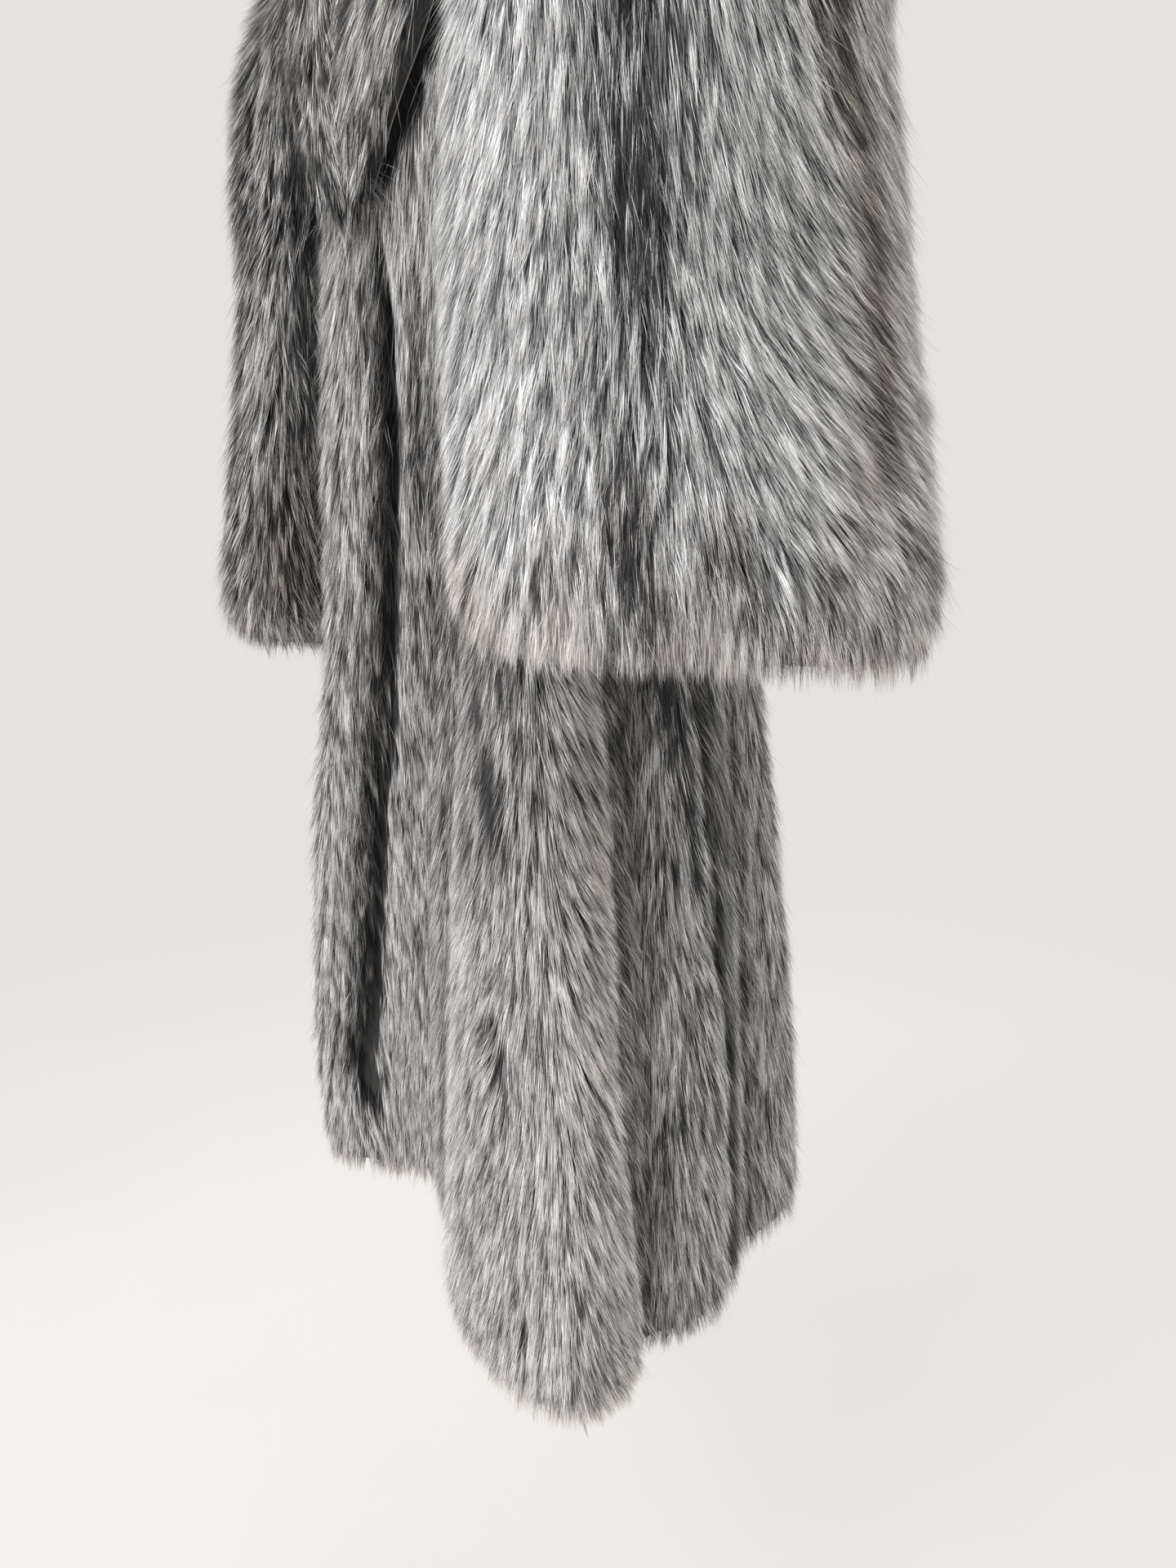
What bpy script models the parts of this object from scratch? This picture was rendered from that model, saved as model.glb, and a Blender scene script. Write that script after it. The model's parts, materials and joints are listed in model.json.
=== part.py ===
"""Full-length fur coat on a plain hanger: a back, two fronts, two sleeves, a shawl collar, a bar and a hook.

Every piece of the coat is a wall as thick as the hide with its pile, between an outer surface, where the
fur ends, and an inner one, the lining. Units are metres and +Z is up. The origin is the point inside the
hook that rests on a rail. The coat's front faces -Y, and the wearer's left is +X.
Heights in the tables are above the hem's lowest fur tips.
"""

from collections import namedtuple

import bmesh
import bpy
import numpy as np

# Driving dimensions
HEM_BELOW_HOOK = 1.440  # from the hang point down to the lowest fur tips of the hem
PILE_WALL = 0.028  # hide, lining and lying fur together
COLLAR_WALL = 0.024
COLLAR_EDGE_THINNING, COLLAR_END_THINNING = 0.6, 0.5  # shares of the wall lost there
COLLAR_LIFT = 0.005  # between the collar and the fur that it lies on
COLLAR_STAND = 0.024  # how far the collar rolls up above the neckline
SEAM_GAP = 0.0003
ARMHOLE_X = 0.186  # each armhole lies in the upright plane this far from the centre
ARMHOLE_EASE = 0.012  # how far the body is cut below the underarm
UNDERARM_HEIGHT = 1.000
LEFT_SEAM, RIGHT_SEAM, OPENING = 0.0, 180.0, 265.0  # angles of the side seams and of the front opening

# Body: one row for each ring, from the hem up to the neck. Depths are from the ring's centre.
Ring = namedtuple(
    "Ring",
    "side_height front_height back_height half_width front_depth back_depth centre_x centre_y fold_share",
)
BODY_RINGS = [
    Ring(0.000, 0.000, 0.000, 0.245, 0.180, 0.195, -0.085, 0.060, 1.00),
    Ring(0.030, 0.030, 0.030, 0.258, 0.192, 0.207, -0.084, 0.060, 1.00),
    Ring(0.160, 0.160, 0.160, 0.254, 0.190, 0.206, -0.080, 0.059, 0.98),
    Ring(0.320, 0.320, 0.320, 0.240, 0.182, 0.196, -0.068, 0.055, 0.92),
    Ring(0.480, 0.480, 0.480, 0.218, 0.174, 0.178, -0.048, 0.048, 0.84),
    Ring(0.620, 0.620, 0.620, 0.190, 0.166, 0.159, -0.022, 0.040, 0.76),
    Ring(0.780, 0.780, 0.780, 0.183, 0.156, 0.151, -0.012, 0.028, 0.58),
    Ring(0.930, 0.930, 0.930, 0.181, 0.146, 0.148, -0.004, 0.014, 0.32),
    Ring(1.045, 1.015, 1.025, 0.205, 0.135, 0.137, 0.000, 0.006, 0.08),
    Ring(1.165, 1.085, 1.110, 0.262, 0.124, 0.126, 0.000, 0.002, 0.00),
    Ring(1.250, 1.150, 1.185, 0.258, 0.112, 0.114, 0.000, 0.000, 0.00),
    Ring(1.296, 1.205, 1.250, 0.186, 0.102, 0.104, 0.000, 0.000, 0.00),
    Ring(1.322, 1.238, 1.300, 0.128, 0.092, 0.092, 0.000, 0.000, 0.00),
    Ring(1.336, 1.255, 1.334, 0.092, 0.082, 0.078, 0.000, 0.000, 0.00),
]
NECK_LEVEL = len(BODY_RINGS) - 1

# Folds: one row for each crest or trough, by its angle round the chest. Lean is how much further round it
# lies at the hem, reach is the share that it adds to the radius, and lift raises the hem there.
Fold = namedtuple("Fold", "angle lean reach lift")
FOLDS = [
    Fold(3.0, 0.0, -0.12, 0.000),
    Fold(38.0, 0.0, -0.18, 0.000),
    Fold(71.0, 0.0, 0.20, 0.000),
    Fold(97.0, 0.0, -0.07, 0.000),
    Fold(122.0, 0.0, 0.13, 0.000),
    Fold(150.0, -2.0, -0.09, 0.000),
    Fold(178.0, -8.0, 0.07, 0.000),
    Fold(208.0, -22.0, -0.06, 0.000),
    Fold(238.0, -28.0, 0.33, 0.004),
    Fold(279.0, -63.0, -0.42, 0.008),
    Fold(292.0, -28.0, -0.38, 0.000),
    Fold(319.0, 0.0, 0.26, 0.000),
    Fold(344.0, 0.0, -0.13, 0.000),
]
CHEST_HEIGHT = 0.93  # above it nothing leans
LIFT_HEIGHT = 0.6  # above it nothing is lifted

# Sleeves: one row for each ring, from the armhole down to the cuff. Swing turns the ring's plane about the
# underarm, from upright to level; drop then lowers it, and back_drop lowers its back edge more. Turn takes
# the back edge outwards.
SleeveRing = namedtuple("SleeveRing", "swing drop inner_gap thickness half_depth forward turn back_drop")
SLEEVE_RINGS = [
    SleeveRing(0.0, 0.000, 0.012, 0.283, 0.088, 0.000, 0.0, 0.000),
    SleeveRing(28.0, 0.000, 0.012, 0.274, 0.104, 0.020, 3.0, 0.000),
    SleeveRing(58.0, 0.002, 0.012, 0.200, 0.120, 0.055, 8.0, 0.000),
    SleeveRing(90.0, 0.014, 0.014, 0.160, 0.132, 0.066, 14.0, 0.002),
    SleeveRing(90.0, 0.080, 0.014, 0.157, 0.138, 0.064, 18.0, 0.004),
    SleeveRing(90.0, 0.170, 0.016, 0.158, 0.145, 0.064, 21.0, 0.007),
    SleeveRing(90.0, 0.260, 0.020, 0.162, 0.151, 0.062, 23.0, 0.010),
    SleeveRing(90.0, 0.330, 0.024, 0.162, 0.154, 0.062, 24.0, 0.012),
    SleeveRing(90.0, 0.372, 0.032, 0.148, 0.148, 0.064, 24.0, 0.012),
    SleeveRing(90.0, 0.382, 0.038, 0.134, 0.140, 0.064, 24.0, 0.012),
]

# How each sleeve hangs, by its side: its shares of the forward swing at the underarm and at the cuff, and
# how much lower its cuff is
SleeveHang = namedtuple("SleeveHang", "underarm_share cuff_share extra_drop")
SLEEVE_HANGS = {1: SleeveHang(1.0, 1.0, 0.008), -1: SleeveHang(0.1, 0.75, 0.006)}
SLEEVE_BACK_SEAM = 95.0  # angle of the back seam between a sleeve's two pieces; the front seam is opposite

# Collar: one row for each station, from the centre back to a lapel's end. Turn is a share of the way round
# from the centre back to the front opening, and level counts the body's rings.
Station = namedtuple("Station", "inner_turn inner_level outer_turn outer_level")
COLLAR_STATIONS = [
    Station(0.00, 13.00, 0.00, 10.40),
    Station(0.26, 13.00, 0.24, 10.45),
    Station(0.52, 13.00, 0.46, 11.25),
    Station(0.78, 13.00, 0.66, 11.05),
    Station(0.96, 12.60, 0.76, 10.30),
    Station(0.99, 11.00, 0.80, 9.50),
    Station(0.99, 9.80, 0.82, 8.80),
    Station(0.99, 8.80, 0.85, 8.20),
    Station(0.99, 7.90, 0.91, 7.70),
    Station(0.99, 7.40, 0.96, 7.30),
]
COLLAR_STAND_LEVEL = 11  # the collar begins to stand up where its inner edge passes this level

# Hanger. Half depths and half heights are of the bar, in the middle and at its ends.
BAR_HALF_LENGTH = 0.172
BAR_HALF_DEPTHS = 0.007, 0.019
BAR_HALF_HEIGHTS = 0.014, 0.009
BAR_CLEARANCE = 0.005
BAR_SET_BACK = 0.006  # how far behind the shoulder line the bar's ends lie
HOOK_WIRE_RADIUS = 0.0022
HOOK_INNER_RADIUS = 0.018
HOOK_ARC = -50, 206  # degrees that the hook's round runs through

# Bend between the hook's stem and its round, measured from the lowest point that a full round would have
Bend = namedtuple("Bend", "across up")
HOOK_BENDS = [Bend(0.0000, -0.0200), Bend(0.0005, -0.0100), Bend(0.0060, 0.0005)]

# Mesh densities
COLUMN_STEP, BODY_ROWS = 7.0, 22
SLEEVE_COLUMNS, SLEEVE_ROWS = 12, 19  # columns on each of a sleeve's two pieces
COLLAR_COLUMNS, COLLAR_ROWS = 6, 37
BAR_RINGS, BAR_SIDES = 21, 14
HOOK_STEP = 15  # degrees

FUR_COLOUR = (0.30, 0.29, 0.28)
COLLAR_COLOUR = (0.20, 0.19, 0.19)
WOOD_COLOUR = (0.45, 0.27, 0.13)
STEEL_COLOUR = (0.62, 0.62, 0.64)


def table_columns(rows, position):
    """Each column of a table at fractional row positions, on a smooth curve through its rows."""
    values = np.array(rows, float)
    position = np.clip(np.asarray(position, float), 0, len(rows) - 1)
    low = np.minimum(position.astype(int), len(rows) - 2)
    part = (position - low)[..., None]
    before = values[np.maximum(low - 1, 0)]
    start, end = values[low], values[low + 1]
    after = values[np.minimum(low + 2, len(rows) - 1)]
    slope_in, slope_out = (end - before) / 2, (after - start) / 2
    curve = (
        (2 * part**3 - 3 * part**2 + 1) * start
        + (part**3 - 2 * part**2 + part) * slope_in
        + (3 * part**2 - 2 * part**3) * end
        + (part**3 - part**2) * slope_out
    )
    return type(rows[0])(*np.moveaxis(curve, -1, 0))


def fold_at(angle):
    """Lean, reach and lift at an angle. A trough is a crease and a crest is round."""
    rows = np.array(FOLDS, float)
    places = np.append(rows[:, 0], rows[0, 0] + 360)
    turned = (np.asarray(angle, float) - places[0]) % 360 + places[0]
    index = np.clip(np.searchsorted(places, turned, side="right") - 1, 0, len(FOLDS) - 1)
    part = (turned - places[index]) / (places[index + 1] - places[index])
    here, following = rows[index], rows[(index + 1) % len(FOLDS)]
    rising = following[..., 2] > here[..., 2]
    from_trough = np.where(rising, part, 1 - part)
    ease = 0.5 * np.sin(from_trough * np.pi / 2) + 0.5 * from_trough**2 * (3 - 2 * from_trough)
    share = np.where(rising, ease, 1 - ease)
    mixed = here + (following - here) * share[..., None]
    return mixed[..., 1], mixed[..., 2], mixed[..., 3]


def body_point(angle, level):
    """Outer points of the body. Angle is in degrees, 0 at the wearer's left and 90 at the back."""
    ring = table_columns(BODY_RINGS, level)
    lean, reach, lift = fold_at(angle)
    turn = np.radians(angle + lean * (1 - np.clip(ring.side_height / CHEST_HEIGHT, 0, 1)))
    cosine, sine = np.cos(turn), np.sin(turn)
    front = sine < 0
    depth = np.where(front, ring.front_depth, ring.back_depth)
    middle_height = np.where(front, ring.front_height, ring.back_height)
    height = ring.side_height + (middle_height - ring.side_height) * sine**2
    spread = 1 + ring.fold_share * reach
    height = height + lift * np.clip(1 - height / LIFT_HEIGHT, 0, 1) ** 2
    return np.stack(
        [
            ring.centre_x + ring.half_width * cosine * spread,
            ring.centre_y + depth * sine * spread,
            height - HEM_BELOW_HOOK,
        ],
        axis=-1,
    )


def sleeve_point(angle, level, side, inset):
    """Points of a sleeve, moved in by inset within each ring's plane. Angle 0 is its outer side.

    Side is 1 for the wearer's left, -1 for the right.
    """
    ring = table_columns(SLEEVE_RINGS, level)
    cosine, sine = np.cos(np.radians(angle)), np.sin(np.radians(angle)) * side
    swing, turn = np.radians(ring.swing), np.radians(ring.turn)
    along = (ring.thickness / 2 - inset) * cosine
    across = (ring.half_depth - inset) * sine
    out = ring.inner_gap + ring.thickness / 2 + along * np.cos(turn) + across * np.sin(turn)
    hang = SLEEVE_HANGS[side]
    down = ring.drop / SLEEVE_RINGS[-1].drop
    forward = ring.forward * (hang.underarm_share + (hang.cuff_share - hang.underarm_share) * down)
    back = across * np.cos(turn) - along * np.sin(turn) - forward
    drop = ring.drop + hang.extra_drop * down + ring.back_drop * sine
    return np.stack(
        [
            side * (ARMHOLE_X + SEAM_GAP + out * np.sin(swing)),
            back,
            UNDERARM_HEIGHT - HEM_BELOW_HOOK + out * np.cos(swing) - drop,
        ],
        axis=-1,
    )


def body_normal(angle, level):
    """Unit normals of the body's outer surface, from small steps each way."""
    step_angle, step_level = 0.5, 0.02
    across = body_point(angle + step_angle, level) - body_point(angle - step_angle, level)
    along = body_point(angle, level + step_level) - body_point(angle, level - step_level)
    normal = np.cross(across, along)
    return normal / np.linalg.norm(normal, axis=-1, keepdims=True)


def shown(name, mesh, colour, roughness=0.9, metallic=0.0):
    """The named object for a mesh, with its own material and its faces pointing out."""
    shell = bmesh.new()
    shell.from_mesh(mesh)
    bmesh.ops.recalc_face_normals(shell, faces=shell.faces)
    shell.to_mesh(mesh)
    shell.free()
    mesh.shade_smooth()
    item = bpy.data.objects.new(name, mesh)
    bpy.context.scene.collection.objects.link(item)
    material = bpy.data.materials.new(name)
    material.use_nodes = True
    shader = material.node_tree.nodes["Principled BSDF"]
    shader.inputs["Base Color"].default_value = (*colour, 1)
    shader.inputs["Roughness"].default_value = roughness
    shader.inputs["Metallic"].default_value = metallic
    mesh.materials.append(material)
    return item


def wall_mesh(name, outer, inner):
    """A closed mesh between two grids of points. Rows run up the piece and columns run across it."""
    rows, columns = outer.shape[:2]
    points = np.concatenate([outer.reshape(-1, 3), inner.reshape(-1, 3)])
    faces = []

    def corner(row, column, layer):
        return (layer * rows + row) * columns + column

    for row in range(rows - 1):
        for column in range(columns - 1):
            corners = [(row, column), (row, column + 1), (row + 1, column + 1), (row + 1, column)]
            faces.append([corner(r, c, 0) for r, c in corners])
            faces.append([corner(r, c, 1) for r, c in reversed(corners)])
    for row in (0, rows - 1):
        for column in range(columns - 1):
            ends = [corner(row, column, 0), corner(row, column + 1, 0)]
            faces.append(ends + [corner(row, column + 1, 1), corner(row, column, 1)])
    for column in (0, columns - 1):
        for row in range(rows - 1):
            ends = [corner(row, column, 0), corner(row + 1, column, 0)]
            faces.append(ends + [corner(row + 1, column, 1), corner(row, column, 1)])
    mesh = bpy.data.meshes.new(name)
    mesh.from_pydata(points.tolist(), [], faces)
    return mesh


def panel_angles(start, end):
    """Angles of a panel's columns, closer than COLUMN_STEP and with one on each crest and trough."""
    folds = [fold.angle for fold in FOLDS if start + 2 < fold.angle < end - 2]
    places = [start] + folds + [end]
    angles = []
    for low, high in zip(places, places[1:]):
        count = max(3, int(np.ceil((high - low) / COLUMN_STEP)))
        angles.extend(np.linspace(low, high, count, endpoint=False))
    return np.array(angles + [end])


def body_panel(name, start, end, cutters):
    """A panel of the body from one seam's angle to the next, cut at the armholes."""
    seam = np.degrees(SEAM_GAP / BODY_RINGS[0].front_depth)
    angle, level = np.meshgrid(panel_angles(start + seam, end - seam), np.linspace(0, NECK_LEVEL, BODY_ROWS))
    outer = body_point(angle, level)
    inner = outer - PILE_WALL * body_normal(angle, level)
    panel = shown(name, wall_mesh(name, outer, inner), FUR_COLOUR)
    for cutter in cutters:
        cut = panel.modifiers.new("Armhole", "BOOLEAN")
        cut.operation = "DIFFERENCE"
        cut.object = cutter


def armhole_cutter(side):
    """A block that takes away what lies beyond one armhole's plane."""
    low, high = UNDERARM_HEIGHT - HEM_BELOW_HOOK - ARMHOLE_EASE, 0.0
    width, depth = 0.4, 0.6
    block = bmesh.new()
    bmesh.ops.create_cube(block, size=1.0)
    mesh = bpy.data.meshes.new("armhole_cutter")
    block.to_mesh(mesh)
    block.free()
    cutter = bpy.data.objects.new("armhole_cutter", mesh)
    bpy.context.scene.collection.objects.link(cutter)
    cutter.dimensions = (width, depth, high - low)
    cutter.location = (side * (ARMHOLE_X + width / 2), 0, (low + high) / 2)
    cutter.hide_render = True
    cutter.display_type = "WIRE"
    return cutter


def sleeve(side_name, side):
    """One sleeve, a tube of a top and an under piece, open at the armhole and at the cuff."""
    levels = np.linspace(0, len(SLEEVE_RINGS) - 1, SLEEVE_ROWS)
    narrowest = min(ring.thickness for ring in SLEEVE_RINGS) / 2 - PILE_WALL
    seam = np.degrees(SEAM_GAP / narrowest) / 2
    for piece, start in (("top", SLEEVE_BACK_SEAM - 180), ("under", SLEEVE_BACK_SEAM)):
        name = f"{side_name}_{piece}_sleeve"
        angles = np.linspace(start + seam, start + 180 - seam, SLEEVE_COLUMNS)
        angle, level = np.meshgrid(angles, levels)
        outer, inner = [sleeve_point(angle, level, side, inset) for inset in (0, PILE_WALL)]
        shown(name, wall_mesh(name, outer, inner), FUR_COLOUR)


def collar_point(along, across):
    """Where the collar lies: along runs from -1, the left lapel's end, to 1, across from the neck out."""
    station = table_columns(COLLAR_STATIONS, np.abs(along) * (len(COLLAR_STATIONS) - 1))
    turn = station.inner_turn + (station.outer_turn - station.inner_turn) * across
    level = station.inner_level + (station.outer_level - station.inner_level) * across
    level = np.minimum(level, NECK_LEVEL)
    whole_turn = np.where(along < 0, 450 - OPENING, OPENING - 90)
    angle = 90 + np.sign(along) * turn * whole_turn
    standing = (station.inner_level - COLLAR_STAND_LEVEL) / (NECK_LEVEL - COLLAR_STAND_LEVEL)
    rise = COLLAR_STAND * (1 - across) ** 2 * np.clip(standing, 0, 1)
    return angle, level, rise


def collar():
    """The shawl collar, on the body's own surface moved out, thinner towards its edges."""
    rows, columns = np.linspace(-1, 1, COLLAR_ROWS), np.linspace(0, 1, COLLAR_COLUMNS)
    along, across = np.meshgrid(rows, columns, indexing="ij")
    angle, level, rise = collar_point(along, across)
    normal = body_normal(angle, level)
    edge_thinning = COLLAR_EDGE_THINNING * (2 * across - 1) ** 4
    end_thinning = COLLAR_END_THINNING * np.abs(along) ** 6
    thickness = COLLAR_WALL * (1 - edge_thinning) * (1 - end_thinning)
    inner = body_point(angle, level) + COLLAR_LIFT * normal
    outer = inner + thickness[..., None] * normal
    for layer in (inner, outer):
        layer[..., 2] += rise
    shown("collar", wall_mesh("collar", outer, inner), COLLAR_COLOUR)


def hanger_bar():
    """A wooden bar whose top follows the inside of the shoulders, thin in the middle, broad at its ends."""
    shoulder = np.array([0.0, 0.0]), np.array([NECK_LEVEL - 2.0, NECK_LEVEL])
    line = body_point(*shoulder) - PILE_WALL * body_normal(*shoulder)
    (x_out, _, z_out), (x_in, _, z_in) = line
    slope = (z_in - z_out) / (x_out**2 - x_in**2)
    top_height = z_in + slope * x_in**2 - BAR_CLEARANCE

    almost_ends = 0.995  # the first and last rings keep a little width
    x = BAR_HALF_LENGTH * np.sin(np.linspace(-np.pi / 2, np.pi / 2, BAR_RINGS) * almost_ends)[:, None]
    share = np.abs(x) / BAR_HALF_LENGTH
    half_depth = BAR_HALF_DEPTHS[0] + (BAR_HALF_DEPTHS[1] - BAR_HALF_DEPTHS[0]) * share**2
    half_height = BAR_HALF_HEIGHTS[0] + (BAR_HALF_HEIGHTS[1] - BAR_HALF_HEIGHTS[0]) * share
    middle = top_height - slope * x**2 - half_height
    rounding = np.sqrt(1 - share**16)
    turn = np.radians(np.arange(BAR_SIDES) * 360 / BAR_SIDES)
    squarish = 0.75  # exponent that takes the section from an ellipse towards a rounded rectangle
    across = np.sign(np.cos(turn)) * np.abs(np.cos(turn)) ** squarish
    up = np.sign(np.sin(turn)) * np.abs(np.sin(turn)) ** squarish
    y = half_depth * rounding * across + BAR_SET_BACK * share
    z = middle + half_height * rounding * up
    points = np.stack([np.broadcast_to(x, z.shape), y, z], axis=-1)

    last = (BAR_RINGS - 1) * BAR_SIDES
    faces = [list(range(BAR_SIDES)), list(range(last, last + BAR_SIDES))]
    for low in range(0, last, BAR_SIDES):
        for side in range(BAR_SIDES):
            after = (side + 1) % BAR_SIDES
            faces.append([low + side, low + after, low + BAR_SIDES + after, low + BAR_SIDES + side])
    mesh = bpy.data.meshes.new("hanger_bar")
    mesh.from_pydata(points.reshape(-1, 3).tolist(), [], faces)
    shown("hanger_bar", mesh, WOOD_COLOUR, roughness=0.45)
    return top_height


def hanger_hook(bar_top):
    """A wire hook that stands on the bar. Its inside touches the rail at the origin."""
    radius = HOOK_INNER_RADIUS + HOOK_WIRE_RADIUS
    centre = HOOK_WIRE_RADIUS - radius
    lowest = centre - radius
    arc = np.radians(np.arange(*HOOK_ARC, HOOK_STEP))
    route = [(0, bar_top + SEAM_GAP)]
    route += [(bend.across, lowest + bend.up) for bend in HOOK_BENDS]
    route += [(radius * np.cos(turn), centre + radius * np.sin(turn)) for turn in arc]
    curve = bpy.data.curves.new("hanger_hook", "CURVE")
    curve.dimensions = "3D"
    curve.bevel_depth = HOOK_WIRE_RADIUS
    curve.bevel_resolution = 2
    curve.use_fill_caps = True
    spline = curve.splines.new("POLY")
    spline.points.add(len(route) - 1)
    for point, (x, z) in zip(spline.points, route):
        point.co = (x, 0, z, 1)
    hook = bpy.data.objects.new("hanger_hook", curve)
    bpy.context.scene.collection.objects.link(hook)
    material = bpy.data.materials.new("hanger_hook")
    material.use_nodes = True
    shader = material.node_tree.nodes["Principled BSDF"]
    shader.inputs["Base Color"].default_value = (*STEEL_COLOUR, 1)
    shader.inputs["Roughness"].default_value = 0.25
    shader.inputs["Metallic"].default_value = 1.0
    curve.materials.append(material)


def main():
    for item in list(bpy.data.objects):
        bpy.data.objects.remove(item)
    cutters = [armhole_cutter(side) for side in (1, -1)]
    body_panel("back", LEFT_SEAM, RIGHT_SEAM, cutters)
    body_panel("right_front", RIGHT_SEAM, OPENING, cutters[1:])
    body_panel("left_front", OPENING, LEFT_SEAM + 360, cutters[:1])
    sleeve("left", 1)
    sleeve("right", -1)
    collar()
    hanger_hook(hanger_bar())


main()
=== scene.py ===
import json
from collections import namedtuple

import bpy
import numpy as np
from mathutils import Matrix, Vector

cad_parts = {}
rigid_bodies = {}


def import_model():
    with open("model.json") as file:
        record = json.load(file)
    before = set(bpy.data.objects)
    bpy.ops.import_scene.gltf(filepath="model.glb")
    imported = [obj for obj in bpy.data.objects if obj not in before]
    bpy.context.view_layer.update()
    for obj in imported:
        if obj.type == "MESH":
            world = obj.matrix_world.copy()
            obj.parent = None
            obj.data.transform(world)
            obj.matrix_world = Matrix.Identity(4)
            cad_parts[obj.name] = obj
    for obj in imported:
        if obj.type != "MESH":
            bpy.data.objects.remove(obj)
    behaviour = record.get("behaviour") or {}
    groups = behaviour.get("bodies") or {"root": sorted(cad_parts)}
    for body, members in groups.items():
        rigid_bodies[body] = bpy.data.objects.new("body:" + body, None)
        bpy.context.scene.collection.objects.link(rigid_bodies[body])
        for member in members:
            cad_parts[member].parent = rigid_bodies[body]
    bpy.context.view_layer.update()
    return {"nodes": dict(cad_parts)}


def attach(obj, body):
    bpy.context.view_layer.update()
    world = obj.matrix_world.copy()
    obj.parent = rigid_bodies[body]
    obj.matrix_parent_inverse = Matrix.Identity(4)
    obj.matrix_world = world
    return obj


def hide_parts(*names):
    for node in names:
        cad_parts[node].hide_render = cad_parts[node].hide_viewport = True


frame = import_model()
print("frame loaded:", ", ".join(sorted(frame["nodes"])))

# The body's rings from the hem up to the neck, heights above the hem's lowest hair tips
ringRow = namedtuple(
    "ringRow", "sideHeight frontHeight backHeight halfWidth frontDepth backDepth centreX centreY foldShare"
)
foldRow = namedtuple("foldRow", "angle lean reach lift")
bodyCut = {
    "hemBelowHook": 1.440,
    "rings": [
        ringRow(0.000, 0.000, 0.000, 0.245, 0.180, 0.195, -0.085, 0.060, 1.00),
        ringRow(0.030, 0.030, 0.030, 0.258, 0.192, 0.207, -0.084, 0.060, 1.00),
        ringRow(0.160, 0.160, 0.160, 0.254, 0.190, 0.206, -0.080, 0.059, 0.98),
        ringRow(0.320, 0.320, 0.320, 0.240, 0.182, 0.196, -0.068, 0.055, 0.92),
        ringRow(0.480, 0.480, 0.480, 0.218, 0.174, 0.178, -0.048, 0.048, 0.84),
        ringRow(0.620, 0.620, 0.620, 0.190, 0.166, 0.159, -0.022, 0.040, 0.76),
        ringRow(0.780, 0.780, 0.780, 0.183, 0.156, 0.151, -0.012, 0.028, 0.58),
        ringRow(0.930, 0.930, 0.930, 0.181, 0.146, 0.148, -0.004, 0.014, 0.32),
        ringRow(1.045, 1.015, 1.025, 0.205, 0.135, 0.137, 0.000, 0.006, 0.08),
        ringRow(1.165, 1.085, 1.110, 0.262, 0.124, 0.126, 0.000, 0.002, 0.00),
        ringRow(1.250, 1.150, 1.185, 0.258, 0.112, 0.114, 0.000, 0.000, 0.00),
        ringRow(1.296, 1.205, 1.250, 0.186, 0.102, 0.104, 0.000, 0.000, 0.00),
        ringRow(1.322, 1.238, 1.300, 0.128, 0.092, 0.092, 0.000, 0.000, 0.00),
        ringRow(1.336, 1.255, 1.334, 0.092, 0.082, 0.078, 0.000, 0.000, 0.00),
    ],
    "folds": [
        foldRow(3.0, 0.0, -0.12, 0.000),
        foldRow(38.0, 0.0, -0.18, 0.000),
        foldRow(71.0, 0.0, 0.20, 0.000),
        foldRow(97.0, 0.0, -0.07, 0.000),
        foldRow(122.0, 0.0, 0.13, 0.000),
        foldRow(150.0, -2.0, -0.09, 0.000),
        foldRow(178.0, -8.0, 0.07, 0.000),
        foldRow(208.0, -22.0, -0.06, 0.000),
        foldRow(238.0, -28.0, 0.33, 0.004),
        foldRow(279.0, -63.0, -0.42, 0.008),
        foldRow(292.0, -28.0, -0.38, 0.000),
        foldRow(319.0, 0.0, 0.26, 0.000),
        foldRow(344.0, 0.0, -0.13, 0.000),
    ],
    "chestHeight": 0.93,  # above it nothing leans
    "liftHeight": 0.6,  # above it nothing is lifted
    "seamGap": 0.0003,
    "armholeX": 0.186,
    "armholeEase": 0.012,
    "underarmHeight": 1.000,
    "opening": 265.0,
    "neckLevel": 13,
}

# The sleeves' rings from the armhole down to the cuff
sleeveRow = namedtuple("sleeveRow", "swing drop innerGap thickness halfDepth forward turn backDrop")
hangRow = namedtuple("hangRow", "underarmShare cuffShare extraDrop")
sleeveCut = {
    "rings": [
        sleeveRow(0.0, 0.000, 0.012, 0.283, 0.088, 0.000, 0.0, 0.000),
        sleeveRow(28.0, 0.000, 0.012, 0.274, 0.104, 0.020, 3.0, 0.000),
        sleeveRow(58.0, 0.002, 0.012, 0.200, 0.120, 0.055, 8.0, 0.000),
        sleeveRow(90.0, 0.014, 0.014, 0.160, 0.132, 0.066, 14.0, 0.002),
        sleeveRow(90.0, 0.080, 0.014, 0.157, 0.138, 0.064, 18.0, 0.004),
        sleeveRow(90.0, 0.170, 0.016, 0.158, 0.145, 0.064, 21.0, 0.007),
        sleeveRow(90.0, 0.260, 0.020, 0.162, 0.151, 0.062, 23.0, 0.010),
        sleeveRow(90.0, 0.330, 0.024, 0.162, 0.154, 0.062, 24.0, 0.012),
        sleeveRow(90.0, 0.372, 0.032, 0.148, 0.148, 0.064, 24.0, 0.012),
        sleeveRow(90.0, 0.382, 0.038, 0.134, 0.140, 0.064, 24.0, 0.012),
    ],
    "hangs": {1: hangRow(1.0, 1.0, 0.008), -1: hangRow(0.1, 0.75, 0.006)},
}

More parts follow.
